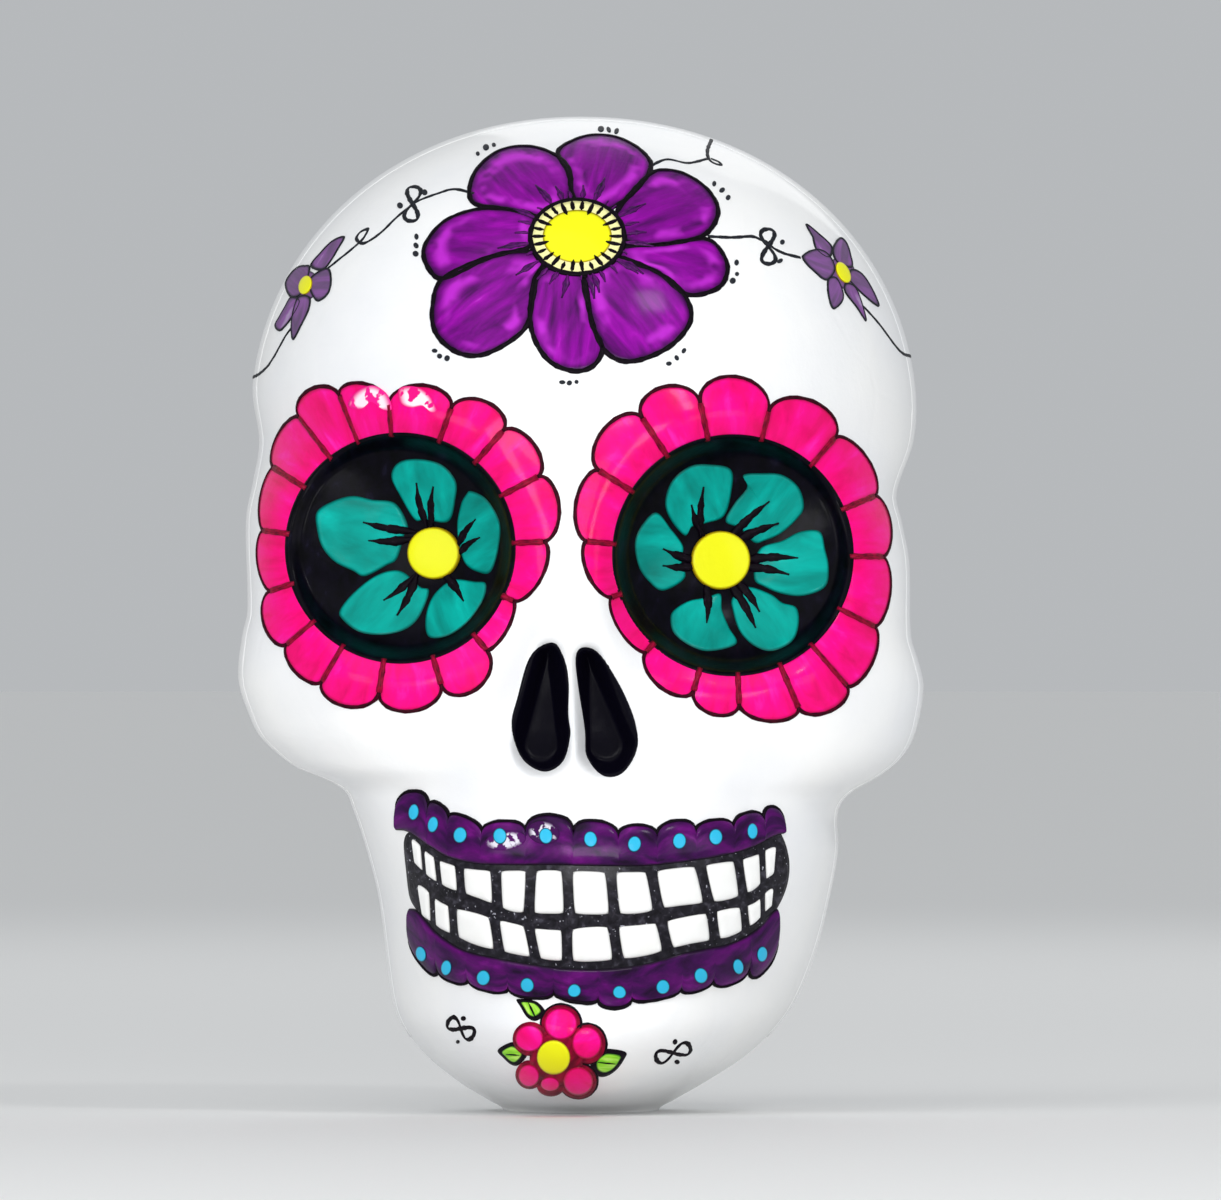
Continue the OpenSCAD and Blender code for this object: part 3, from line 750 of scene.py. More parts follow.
# %% Purple petals
FLOWER = np.array([-1.0, 246.0])
PETALS = [[(-5, 5), (-20, 8), (-29.5, 10), (-29, 18), (-22, 24.5), (-12, 25.5), (-3, 20.5), (-2, 11)],
          [(4, 6), (-1, 11), (-2.5, 18), (-5.5, 24), (-1, 27.5), (5, 29), (12, 28), (18.5, 24),
           (20.5, 19), (14, 11)],
          [(10, 3), (12, 8.5), (20, 17.5), (25, 19), (31, 17.5), (37, 13), (39.5, 7), (36, 1),
           (28, -1.5), (16, -2)],
          [(12, -3), (24, -2), (36, -0.5), (41, -5), (42, -10), (39, -14.5), (30.5, -16), (22, -9.5),
           (13, -6.5)],
          [(8, -6), (15, -6.5), (26, -12), (31, -18), (31.5, -24), (26, -30.5), (17, -34.5),
           (10.5, -34), (6, -29), (3, -19), (2, -11)],
          [(-2, -8), (-10.5, -9.5), (-13, -18), (-12.5, -27), (-8, -34.5), (-1, -37.5), (4.5, -36),
           (7, -31), (4, -24), (2, -12)],
          [(-8, -5), (-21, -4.5), (-37, -11), (-40.5, -19), (-39.5, -27), (-33, -32.5), (-25, -32.5),
           (-15, -26), (-12.5, -18), (-11, -10)],
          [(-10, 2), (-13, 6.5), (-22, 8), (-30, 7.5), (-38, 4), (-43, -3), (-41.5, -9), (-37, -11.5),
           (-25, -6), (-13, -2.5)]]
outlines = [smooth(p, closed=True) + FLOWER for p in PETALS]
paint("forehead_petals",
      [petal(o, FLOWER, dome=0.15, tint=0.37 * i, rings=12) for i, o in enumerate(outlines)], PURPLE)

# %% The flower's roots, lines and disc
DISC_X, DISC_Z = 12.7, 10.0            # half width and half height of the disc


def disc_arm(t):
    """Way from the middle of the flower to the rim of its disc, at angle t."""
    return np.array([DISC_X * np.cos(t), DISC_Z * np.sin(t)])


roots = []
for i, outline in enumerate(outlines):
    way = outline.mean(0) - FLOWER
    for k, turn in enumerate((-0.34, -0.1, 0.16, 0.4)):
        arm = disc_arm(np.arctan2(way[1] / DISC_Z, way[0] / DISC_X) + turn)
        reach = 1.5 + 0.3 * np.sin(5 * i + 2.3 * k)
        path = [FLOWER + arm, FLOWER + arm * (1 + reach) / 2 + 0.3, FLOWER + arm * reach]
        roots.append(line(path, 2.3, lift=0.5, taper=5))
rays = [[FLOWER + disc_arm(t) * k for k in (1, 0.86, 0.7 + 0.07 * np.sin(9 * t))] for t in circle(26)]
disc_line = oval(FLOWER, DISC_X + 0.4, DISC_Z + 0.4, n=60)
paint("forehead_root_strokes", roots, GUM)
paint("forehead_lines",
      [stroke(on_face(o), 1.5, closed=True, lift=0.34) for o in outlines]
      + [stroke(on_face(disc_line), 1.7, closed=True, lift=0.75)]
      + [line(r, 1.35, lift=0.85, taper=1) for r in rays], LINE)
paint("forehead_disc_rim", [petal(oval(FLOWER, DISC_X, DISC_Z, n=60), FLOWER, lift=0.45)], PALE_YELLOW)
paint("forehead_disc", [petal(oval(FLOWER, DISC_X * 0.76, DISC_Z * 0.74, n=48), FLOWER, 0.5, 0.3)], YELLOW)

# %% [markdown]
# ## The eyes
# Each eye is a dish of gloss black with turquoise petals inside it and a ring of pink petals round
# it. The ring's petals are not equal: the painter started each where the last one ended. So each is
# given by the angle where it starts, how far out the notch before it lies, and how far out it
# reaches.

# %% Pink petal rings
RIGHT_RING = [(94.5, 40.1, 46), (69.9, 41.4, 47.5), (48.8, 43.5, 47.4), (27.5, 43.2, 46), (2.6, 40, 40.5),
              (-25, 34.9, 37.6), (-49.7, 37.3, 44.8), (-73.3, 39.6, 45.7), (-98.4, 40.7, 46.9),
              (-120.4, 43.1, 45.6), (-139.6, 41.6, 44.1), (-161.6, 38.4, 40.6), (-187, 38.9, 42.1),
              (-212, 42.3, 47), (-232, 46.3, 51.2), (-248.1, 45.7, 47.4)]
LEFT_RING = [(102.1, 43.4, 50), (76, 41.2, 48.6), (48.9, 43.4, 46.6), (22.4, 43, 45.4), (-0.7, 42, 45.6),
             (-26.8, 44.4, 49.5), (-48.9, 48.4, 51.5), (-66.7, 46.2, 47.6), (-87.6, 41.4, 44.8),
             (-106.2, 39.4, 42), (-132, 36.3, 38), (-161, 35.9, 41), (-185.5, 40.8, 46.3),
             (-212.4, 44.1, 50.5), (-236.6, 45.8, 51)]


CLEAR = 0.3                            # gap between the black of the eye and the pink


def ring(eye, r, petals):
    """Films and lines of a petal ring. A petal's outer edge is the straight line between its two
    notches plus a bulge, a quarter circle to each side of its middle."""
    rest = petals[1:] + [(petals[0][0] - 360, petals[0][1], 0)]
    share = (1 - np.cos(np.linspace(0, np.pi, 17))) / 2      # closest at the notches
    v = np.linspace(0, 1, 15)[:, None]
    films, rims, spokes = [], [], []
    for i, ((start, notch, tip), (stop, notch_after, _)) in enumerate(zip(petals, rest)):
        turn = np.radians(start + (stop - start) * share)
        out = notch + (notch_after - notch) * share
        out = out + (tip - (notch + notch_after) / 2) * arc(2 * share - 1, 2)
        reach = r + CLEAR + (out - r - CLEAR) * v
        way = beside(np.cos(turn), np.sin(turn))
        uv = beside((share - 0.5) * 1.6, (reach - r) / 10)
        edge = np.maximum(np.abs(2 * share - 1), np.maximum(v**2, 0.95 * (1 - v)**2))
        films.append(film(on_face(eye + reach[..., None] * way), ONE_COAT + 0.2 * (1 - edge**2), uv,
                          edge=edge, tint=0.61 * i))
        rims.append(stroke(on_face(eye + out[:, None] * way), 1.25, lift=0.3))
        spokes.append(stroke(on_face(eye + np.linspace(r, out[0], 9)[:, None] * way[0]), 1.8, lift=0.42))
    return films, rims, spokes


rings = [ring(np.array(eye), r, petals) for (eye, r), petals in zip(EYES, (RIGHT_RING, LEFT_RING))]
pink, rims, spokes = (right + left for right, left in zip(*rings))
paint("pink_petals", pink, PINK)
paint("pink_outlines", rims, MAROON)
paint("pink_separators", spokes, DARK_RED)

# %% [markdown]
# Painted highlights: where the lamps glare on the highest edges of the paint, pale dots stand in for the
# glare, on two petals of the ring and later on two scallops of the gum.

# %% Painted highlights on two petals
# Outlines of two painted highlights on the top petals of the right eye's ring.
GLARE_SPOTS = [[(-65, 199), (-62.5, 202.8), (-58, 204.4), (-54.2, 202), (-52.8, 198), (-55, 197.6), (-58.5, 199.8),
           (-61.5, 197.8)],
          [(-50.6, 203.6), (-46, 204), (-42.4, 201.8), (-40.2, 197.6), (-41.5, 196.8), (-44, 198.6),
           (-47.5, 198.2), (-50.4, 199.6)]]
paint("petal_glare", patches([smooth(p, closed=True) for p in GLARE_SPOTS], 0.37, tint=1.3, rings=8), GLARE_PINK)

# %% [markdown]
# The black dish is one round film from the middle of the eye to just over its rim. It has many
# rings, because the wall's step at the rim is steep.

# %% Black dishes
EYE_OVERLAP = 0.9                      # how far the black runs on over the rim


def eye_film(eye, r):
    """Round film over an eye, whose rings lie closer together towards the rim."""
    share = np.linspace(0, 1, 45)[1:] ** 0.8
    t = circle(144)
    disc = share[:, None, None] * (r + EYE_OVERLAP) * beside(np.cos(t), np.sin(t))
    return film(on_face(disc + eye), 0.2, disc / 10, round_grid=True)


paint("right_eye_black", [eye_film(RIGHT_EYE, RIGHT_EYE_R)], BLACK, "eye_cup_right")
paint("left_eye_black", [eye_film(LEFT_EYE, LEFT_EYE_R)], BLACK, "eye_cup_left")

# %% [markdown]
# Inside each dish lies a turquoise flower. Its petals are fat and uneven, so their outlines are listed like
# the purple ones, with dark veins and a domed yellow middle.

# %% Turquoise flowers
RIGHT_TEAL = [[(7, 8), (4, 8), (0, 14.5), (-2.5, 20), (-0.5, 24), (5, 25), (11.5, 23.5), (15.5, 19),
               (15.5, 14), (13.5, 7.5)],
              [(16, 5), (17, 12), (18.5, 15), (20, 16), (24.5, 13.5), (28, 7), (27.5, -0.5), (25.5, -6.5),
               (22.5, -7), (18, -4)],
              [(15, -9), (21, -9.5), (24, -10), (23.5, -14), (20.5, -19), (17, -22.5), (12.5, -25),
               (8, -25), (7, -21), (8, -16), (10.5, -12)],
              [(1, -7), (5.5, -11), (8, -12), (6.5, -17), (4, -21), (0, -23.5), (-6, -24.5), (-12, -23.5),
               (-16.5, -20), (-17, -17.5), (-13.5, -13), (-8, -8.5), (-3, -6.5)],
              [(1, 3.5), (2, 6.5), (-1.5, 12.5), (-8, 13.5), (-13.5, 14.5), (-19, 13), (-23.5, 10),
               (-23.5, 5), (-22, 0), (-18.5, -4), (-13.5, -6.5), (-10, -8), (-4, -5), (-1, -3)]]
RIGHT_VEINS = [[(5, 17.5), (7, 8)], [(9.5, 16.5), (9, 8)], [(21, 7.5), (17, 1.5)], [(22, 2.5), (17.5, -1)],
               [(17.5, -14.5), (12.5, -8)], [(-4, -14.5), (2.5, -9)], [(-0.5, -18.5), (4, -9)],
               [(-9.5, 7), (2, 5)], [(-8, 2), (2, 2.5)]]
LEFT_TEAL = [[(-7.5, 9), (-11.5, 8), (-13.5, 5.5), (-17.5, 10), (-19, 15), (-17, 21), (-12, 25),
              (-6.5, 25.5), (-0.5, 24), (-0.5, 17.5), (-2.5, 11)],
             [(-2, 9.5), (0.5, 14.5), (4, 19), (3, 22.5), (8.5, 23), (14, 22.5), (18.5, 19), (20, 13.5),
              (18, 10), (13.5, 6), (9, 4), (6, 3.5), (2, 7.5)],
             [(7.5, 1.5), (14, 4), (19, 6.5), (24.5, 6.5), (26, 1.5), (27, -3.5), (26, -9), (20, -11.5),
              (14, -11), (9, -9), (6, -6.5)],
             [(4, -9), (10.5, -11), (14, -13.5), (18, -15), (18.5, -20), (16.5, -24.5), (11, -27),
              (6, -25.5), (2, -21.5), (0, -15.5), (0, -12)],
             [(-3.5, -11), (-7.5, -12), (-12.5, -13), (-16.5, -15.5), (-17.5, -18), (-16.5, -22),
              (-12, -25.5), (-6.5, -27), (1, -25), (-1, -20.5), (-3, -15.5)],
             [(-14, 2.5), (-17.5, 7.5), (-21.5, 12), (-25.5, 8.5), (-27.5, 3.5), (-26.5, -3),
              (-23.5, -7.5), (-19.5, -10), (-13.5, -6.5), (-14.5, -1.5)]]
LEFT_VEINS = [[(-8.5, 18.5), (-9, 8)], [(-11.5, 13.5), (-9, 7.5)], [(9.5, 14.5), (0, 5.5)],
              [(12, 8.5), (1.5, 4)], [(17.5, -1), (4, -1.5)], [(15, -5.5), (4, -3.5)],
              [(7, -15.5), (1.5, -8)], [(6, -20), (-0.5, -8.5)], [(-7.5, -18.5), (-7.5, -9)],
              [(-19, 1.5), (-11.5, -1)], [(-19, -3), (-11.5, -3)]]
HEARTS = [((9.5, -1.5), 7.4), ((-3.5, -1.5), 8.3)]    # middle, off that of the eye, and radius
teal, veins, hearts = [], [], []
for eye, flower, streaks, (middle, r) in zip((RIGHT_EYE, LEFT_EYE), (RIGHT_TEAL, LEFT_TEAL),
                                             (RIGHT_VEINS, LEFT_VEINS), HEARTS):
    root = np.array(eye) + middle
    teal += [petal(smooth(p, True) + eye, root, 0.4, 0.5, 0.43 * i) for i, p in enumerate(flower)]
    for tip, end in np.array(streaks, float):
        inward = (end - tip) / np.hypot(*(end - tip))
        bend = (tip + end) / 2 + 0.5 * inward[::-1] * (1, -1)
        veins.append(line([tip - inward + eye, bend + eye, end + 3 * inward + eye], 2.9, lift=1.1, taper=6))
    hearts.append(petal(oval(root, r, r, n=40), root, 1.25, 0.9))
paint("turquoise_petals", teal, TEAL)
paint("turquoise_veins", veins, LINE)
paint("eye_hearts", hearts, YELLOW)

# %% [markdown]
# ## The nose
# Two teardrop hollows, pressed into the paper and filled with gloss black.

# %% Nose hollows
NOSE = [[(-8.1, 132.7), (-5, 129.1), (-3.4, 122), (-3.5, 113), (-3, 106.5), (-5, 99.4), (-10.3, 96.6),
         (-16.4, 100.2), (-19.3, 109), (-17.6, 117.4), (-13.9, 129.1)],
        [(1, 131.4), (5.3, 129.4), (10.8, 120.8), (15, 110.8), (15.7, 103), (11.7, 96.3), (6.1, 95.6),
         (1.7, 100.8), (1.2, 108), (-0.8, 120.8), (-1.4, 129)]]
paint("nose_black", [petal(smooth(n, True), np.mean(n, 0), 0.22, rings=16) for n in NOSE], BLACK)

# %% [markdown]
# ## The mouth
# One broad grin: a band of thick black paint, with white teeth standing on it and a scalloped gum
# above and below. The teeth follow lines that sag to the middle, and the gaps are where the hand
# put them, so the same few stations give every tooth its own shape.

# %% Lines of the mouth
# Lines across the mouth as stations [across, up], from the upper gum down to the lower one.
GUM_TOP = [[-50, 80], [-42, 75.5], [-37, 72.7], [-28, 70.8], [-8, 70.6], [15, 70.3], [27, 71.2], [39, 73],
           [47, 75], [57, 79]]
UPPER_TOP = [[-48, 78], [-42, 73.4], [-37, 70.9], [-28, 69.2], [-8, 69.2], [15, 68.7], [27, 69.8], [39, 71.2],
             [47, 72.6], [55, 75.5]]
UPPER_FOOT = [[-48, 71.5], [-42, 67], [-37, 64.2], [-28, 61.2], [-19, 57.7], [-8, 57.1], [15, 57.1],
              [27, 59.2], [39, 60.5], [47, 62.9], [55, 68]]
LOWER_TOP = [[-46, 65], [-38.5, 59.8], [-29, 57.1], [-18.5, 54.3], [-8.4, 52.6], [3, 53.4], [17, 54],
             [30.4, 56.4], [41, 58.3], [48, 59.7], [54, 64]]
LOWER_FOOT = [[-46, 56.5], [-38.5, 52.4], [-29, 48.2], [-18.5, 45.8], [-8.4, 44.2], [3, 43.8], [17, 45.2],
              [30.4, 48.6], [41, 50.4], [48, 54], [54, 59]]
GUM_FOOT = [[-47, 58], [-40, 51.5], [-33, 47], [-23, 44.6], [-13, 42.9], [-3, 41.8], [8, 41.8], [19, 43.4],
            [29, 46.2], [42, 48.8], [49, 52.5], [55, 58]]
# Where the gaps lie: at the upper and the lower end of each gap.
UPPER_GAPS = [(-47.6, -46.6), (-44, -43.4), (-40.2, -39.4), (-34, -33.4), (-23.6, -23.1), (-13.8, -14.4),
              (-3.8, -3.2), (8.3, 9.4), (19.6, 21.6), (33.2, 35.6), (44, 45.4), (50.6, 50.9), (55, 54.2)]
LOWER_GAPS = [(-46.2, -44.6), (-41.4, -41), (-36, -35.4), (-24, -22.6), (-14.4, -12.6), (-3.9, -3.7),
              (9, 10.4), (22.4, 24.2), (36.4, 37.4), (45.6, 46.2), (50.7, 50.7), (54, 53.4)]
GAP = 2.9                              # width of a gap, and less beside the narrow teeth at the ends


def tooth(gap, gap_after, foot, head, tint):
    """Domed white tooth between two gaps. A square of places is rounded at its corners, u by
    sqrt(1 - v^4 / 9), then stretched between the gaps and between its foot line and head line."""
    u, v = np.meshgrid(np.linspace(-1, 1, 17), np.linspace(-1, 1, 17))
    across, up = u * np.sqrt(1 - v**4 / 9), v * np.sqrt(1 - u**4 / 9)
    slim = min(GAP, 0.26 * (gap_after[0] - gap[0]) + 0.3) / 2
    left = gap[1] + (gap[0] - gap[1]) * (up + 1) / 2 + slim
    right = gap_after[1] + (gap_after[0] - gap_after[1]) * (up + 1) / 2 - slim
    x = (left + right) / 2 + (right - left) / 2 * across
    z = at(x, foot) + (at(x, head) - at(x, foot)) * (up + 1) / 2
    edge = np.maximum(np.abs(u), np.abs(v))
    points = beside(x, z)
    return film(on_face(points), 1.15 - 0.75 * edge**5, points / 10, edge=edge, tint=tint)


def tooth_row(gaps, foot, head):
    """Teeth between all the gaps of a row."""
    return [tooth(a, b, foot, head, 0.7 * i) for i, (a, b) in enumerate(zip(gaps, gaps[1:]))]


paint("upper_teeth_white", tooth_row(UPPER_GAPS, UPPER_FOOT, UPPER_TOP), TOOTH, "upper_teeth")
paint("lower_teeth_white", tooth_row(LOWER_GAPS, LOWER_FOOT, LOWER_TOP), TOOTH, "lower_teeth")

# %% The black band under the teeth
def band(overlap=0.8):
    """Film from one corner of the mouth to the other, u across and v up, which runs on under
    both gums by the overlap. Its ends are curves of v."""
    u, v = np.meshgrid(np.linspace(0, 1, 141), np.linspace(0, 1, 33))
    left_end = -47.5 - 2.5 * v + 3 * (2 * v - 1) ** 6
    right_end = 58.2 - 3.4 * (2 * v - 1.1) ** 2
    x = left_end + (right_end - left_end) * u
    z = at(x, GUM_FOOT) - overlap + (at(x, GUM_TOP) - at(x, GUM_FOOT) + 2 * overlap) * v
    points = beside(x, z)
    return film(on_face(points), 0.3, points / 10)


paint("mouth_band", [band()], MOUTH_BLACK)

# %% [markdown]
# Each gum is a strip whose inner edge follows the teeth and whose outer edge runs in scallops,
# one cyan dot to a scallop. A scallop is half a superellipse between two notches.

# %% Gums
UPPER_NOTCHES = [(-51.4, 85.5), (-42.4, 86.2), (-36.7, 83.2), (-27.4, 79.5), (-15.3, 79.8), (-2.1, 79.5),
                 (10.4, 78.3), (21.2, 78.3), (31.9, 79.5), (42.4, 80.6), (50.9, 82.2), (56.6, 80.6)]
UPPER_PEAKS = [91, 87.5, 83.9, 82.8, 84.6, 82.9, 81.7, 82.9, 83.0, 85.0, 86.5]
LOWER_NOTCHES = [(-47.8, 50), (-39.8, 41.5), (-31.3, 38.9), (-20.1, 36.7), (-7.5, 35.6), (4.8, 33.5),
                 (14.1, 33.7), (27.9, 36.3), (36.8, 38.9), (46.8, 42.3), (54.8, 50)]
LOWER_PEAKS = [41.6, 37.6, 35.2, 33.4, 32.2, 30.4, 32.8, 35.2, 37, 40.2]
UPPER_DOTS = [(-45.8, 84.9), (-40.4, 81.5), (-32.9, 78.7), (-22.1, 78.5), (-9.6, 78.5), (2.7, 77.6),
              (14.8, 76.3), (27.1, 77.1), (37, 78.1), (47.1, 79.5)]
LOWER_DOTS = [(-43.6, 45.6), (-36.6, 42), (-26.5, 39.5), (-14.6, 37.6), (-1.8, 35.9), (10.6, 35.4),
              (22.5, 37.1), (32.9, 40.2), (43.1, 42.5), (49.7, 45.8)]


def gum(notches, peaks, inner):
    """Film and outline of a gum. Between two notches the outer edge bulges to the peak, and
    across the strip the gum swells by 1 - (2v - 1)^4."""
    n = np.array(notches)
    share = (1 - np.cos(np.linspace(0, np.pi, 13))) / 2
    x = np.concatenate([a + (b - a) * share[:-1] for a, b in zip(n[:-1, 0], n[1:, 0])] + [n[-1:, 0]])
    straight = np.interp(x, n[:, 0], n[:, 1])
    k = np.minimum(np.searchsorted(n[:, 0], x, side="right") - 1, len(peaks) - 1)
    u = (x - n[k, 0]) / (n[k + 1, 0] - n[k, 0])
    out = straight + (np.array(peaks)[k] - (n[k, 1] + n[k + 1, 1]) / 2) * arc(2 * u - 1, 2.4)
    v = np.linspace(0, 1, 15)[:, None]
    z = at(x, inner) + (out - at(x, inner)) * v
    edge = (2 * v - 1) ** 2 * np.ones_like(x)
    body = film(on_face(beside(x, z)), 0.45 + 0.85 * (1 - edge**2), beside(x / 10, v * 0.9), edge=edge)
    return body, stroke(on_face(beside(x, out)), 1.2, lift=0.75)


for node, shape, spots in (("upper_gum", (UPPER_NOTCHES, UPPER_PEAKS, GUM_TOP), UPPER_DOTS),
                           ("lower_gum", (LOWER_NOTCHES, LOWER_PEAKS, GUM_FOOT), LOWER_DOTS)):
    body, border = gum(*shape)
    paint(node + "_purple", [body], GUM, node)
    paint(node + "_outline", [border], LINE)
    ovals = [oval(p, 1.45 + 0.4 * (abs(p[0] - MOUTH_X) < 38), 2.2, 12 * np.sin(5 * p[0])) for p in spots]
    paint(node + "_dots", patches(ovals, 1.45, 0.2, rings=5), CYAN)
# Two painted highlights on the upper gum: purple ovals with pale dots.
glare_on_gum = [oval((-20.6, 77.2), 5.6, 2.5, 8), oval((-10.2, 79.4), 4.4, 3.1, -10)]
paint("gum_glare", patches(glare_on_gum, 1.36, tint=0.4, rings=8), GLARE_PURPLE)

# %% [markdown]
# ## The flower on the chin
# Six pink petals round a yellow middle, on a dark red ground, with three green leaves and a small
# black bow to each side.

# %% Chin flower
CHIN = np.array([-7.5, 17.0])
# Ovals: middle, half width, half height.
CHIN_PETALS = [((-5.5, 26.2), 4.6, 4.3), ((1.7, 21), 4.1, 4.4), ((-0.7, 10.2), 4.1, 4.1),
               ((-8.5, 9.4), 2.6, 2), ((-14.4, 11.7), 2.9, 3.2), ((-14.2, 22.2), 3.9, 3.6)]
GROUNDS = [((-5.5, 26.2), 5.6, 5.4), ((1.9, 20.6), 5.2, 5.6), ((-0.7, 10), 5.3, 5.2), ((-8.4, 8.8), 3.9, 3.2),
           ((-14.3, 11.8), 3.9, 4.1), ((-14.0, 22), 4.9, 4.7), ((-6.8, 16.5), 7.4, 7.4)]
LEAVES = [[(-17.9, 32.9), (-15.4, 33), (-12.5, 32.4), (-10.6, 30.8), (-9.9, 28.9), (-12.5, 27),
           (-14.9, 27.9), (-16.8, 30.8)],
          [(-23.2, 18.6), (-20.6, 20.5), (-18.2, 20.8), (-14.9, 17.9), (-17.3, 14.6), (-19.4, 14.6),
           (-21.6, 16.5)],
          [(2.9, 16), (6, 18.9), (9.3, 19.1), (12.6, 18.2), (12.2, 16.5), (10.3, 13.7), (7.9, 11.8),
           (5.5, 11.3), (3.1, 12.7)]]
leaves = [smooth(leaf, closed=True, steps=6) for leaf in LEAVES]
grounds = [oval(*g) for g in GROUNDS]
greens, leaf_veins = [], []
for leaf in leaves:
    heart = leaf.mean(0)
    greens.append(petal(heart + (leaf - heart) * 0.66, CHIN, 0.3, 0.12, rings=5))
    leaf_veins.append(line([heart + (CHIN - heart) * 0.2, heart, heart - (CHIN - heart) * 0.12],
                           0.9, lift=0.5, taper=2))
paint("chin_leaf_outlines", patches(leaves, 0.16, rings=5), LINE)
paint("chin_leaves", greens, LIME)
paint("chin_leaf_veins", leaf_veins, LINE)
paint("chin_ground", [petal(g, CHIN, 0.24 + 0.02 * i, rings=6) for i, g in enumerate(grounds)], DARK_RED)
paint("chin_outline", [stroke(on_face(g), 0.9, closed=True, lift=0.28) for g in grounds[:3]], LINE)
paint("chin_petals",
      [petal(oval(*o), CHIN, 0.45, 0.25, 0.8 * i, rings=6) for i, o in enumerate(CHIN_PETALS)], PINK)
paint("chin_heart", [petal(oval(CHIN, 4.6, 4.8), CHIN, 0.5, 0.4, rings=6)], YELLOW)
bows = [figure_eight((-33.6, 24.5), 4.0, -30, 0.46), figure_eight((25.8, 17.8), 5.0, 18, 0.36)]
paint("chin_bows", [line(b, 1.35, closed=True) for b in bows]
      + dots([(-32.8, 27.4), (-34.4, 20.7), (26.3, 21), (26.9, 15.2)], 0.62), LINE)

# %% [markdown]
# ## Vines, bows and dots
# Thin marker lines run from the forehead flower out over the temples and on round the sides to the
# back. In front they are drawn like everything else; round the sides and the back they are drawn
# in places, an angle round the head and a height. The middle of the back is at 180 degrees.

# %% Vines over the temples
front_vines = [
    [(-30, 258.3), (-35.5, 259.6), (-40.5, 258.3), (-46, 256.2), (-48.9, 254.1), (-52.3, 251.2),
     (-55.3, 248.2), (-58.2, 245.9), (-61.2, 244.4), (-63.1, 245.7), (-62, 247.6), (-59.9, 248.4),
     (-60.7, 246.5), (-62, 244.9), (-65, 242.3), (-67.9, 240), (-71.3, 237.3)],
    [(35.5, 246.3), (42.2, 246), (47.9, 246.3), (50.4, 245.4), (52.3, 244.6), (54.1, 243), (57.2, 241.5),
     (61.6, 240.4)],
    [(19, 265.8), (24, 268), (30, 267), (35.4, 268.2)],
    [(36.7, 273.6), (35.6, 270.7), (35.9, 268.3), (37.4, 267), (39.4, 266.5), (38.7, 267.4), (36.5, 268.3)]]
front_bows = [figure_eight((-47.3, 255.5), 4.9, 84, 0.4), figure_eight((52.5, 243.5), 4.9, 92, 0.4)]
dot_groups = [[(-46.1, 246.2), (-46.2, 243.7), (-46.3, 241.4)],
              [(-40.9, 214.2), (-39.5, 212.7), (-37.4, 212.1)],
              [(-43.9, 258.7), (-50.8, 255)], [(37.4, 261.1), (39.6, 259.3), (41.3, 257.2)],
              [(43.6, 238.9), (43.7, 235.7), (42.5, 233.8)], [(56.5, 244.7), (55.8, 239.4)],
              [(24.6, 210.6), (26.8, 212.2), (28.8, 214.2)], [(-5.2, 205.4), (-3.2, 205.2), (-1.2, 205.5)],
              [(5.6, 276.6), (7.8, 276.4), (10, 276)], [(-29, 269.6), (-26.7, 271.4), (-24.5, 272.1)]]
pen_marks = [line(v, 1.1, lift=0.2) for v in front_vines]
pen_marks += [line(b, 1.35, closed=True, lift=0.24) for b in front_bows]
pen_marks += [d for group in dot_groups for d in dots(group, 0.7)]
print(len(pen_marks), "marks of the pen in front")

# %% [markdown]
# The small mauve flowers have pointed petals, a thinner wash of paint and a yellow eye.

# %% Small mauve flowers
RIGHT_BLOOM = [[(-75.9, 238.1), (-73.4, 241.5), (-70, 244.9), (-66.6, 246.2), (-68.3, 242.8), (-72.1, 237.3)],
               [(-71.5, 237.3), (-70.2, 234.7), (-70.9, 230.5), (-74.2, 228.4), (-76.3, 233.9)],
               [(-76.3, 237.3), (-77.6, 238.1), (-79.7, 237.7), (-81.8, 235.6), (-83.1, 232.6),
                (-81.4, 229.3), (-78, 231)],
               [(-81.4, 229.3), (-83.1, 226.7), (-85, 223.4), (-86, 221.3), (-84.5, 220), (-81.4, 223.4),
                (-79, 228)],
               [(-79.5, 229), (-81.2, 223), (-80.9, 217.5), (-78.9, 220.8), (-76.4, 226), (-76.4, 229.3)]]
LEFT_BLOOM = [[(63.3, 249.7), (65.1, 246.1), (66.2, 242.5), (69.5, 240.5), (70.4, 243.4), (66.8, 247)],
              [(70.8, 242.6), (72.8, 245.9), (74.7, 244.4), (75.8, 240.8), (76, 237.8), (72.1, 239)],
              [(76, 237), (78.7, 236), (81.3, 232.5), (83.7, 227), (80.5, 229), (76.5, 232.8), (75.2, 234.7)],
              [(76.5, 232.5), (78.2, 229.4), (80, 222.8), (77.4, 226.5), (74.2, 230.7), (74.3, 233)],
              [(71.7, 234.5), (73.4, 230.7), (73.2, 228.1), (70.8, 226.1), (69.5, 229.5), (69.4, 234.2)],
              [(62.2, 240.4), (66, 242.6), (69.4, 241.2), (71.2, 237.2), (69, 234.2), (66, 236)]]
washes, wash_lines, wash_hearts = [], [], []


def bloom(outlines, middle, heart, where=on_face):
    """Pointed petals as films with fine outlines round a yellow oval. heart is the oval's half
    width and half height and, if it leans, its turn; a wider oval of wash lies under it."""
    middle = np.array(middle)
    for i, p in enumerate(outlines):
        loop = smooth(p, closed=True, steps=6)
        washes.append(petal(loop, middle, 0.16 + 0.03 * i, tint=0.9 * i, rings=6, where=where))
        wash_lines.append(line(loop[::3], 0.6, closed=True, where=where, lift=0.38))
    ground = oval(middle, heart[0] + 1.9, heart[1] + 1.5, *heart[2:])
    washes.append(petal(ground, middle, ONE_COAT, tint=3.1, rings=5, where=where))
    wash_hearts.append(petal(oval(middle, *heart), middle, 0.45, 0.25, rings=5, where=where))


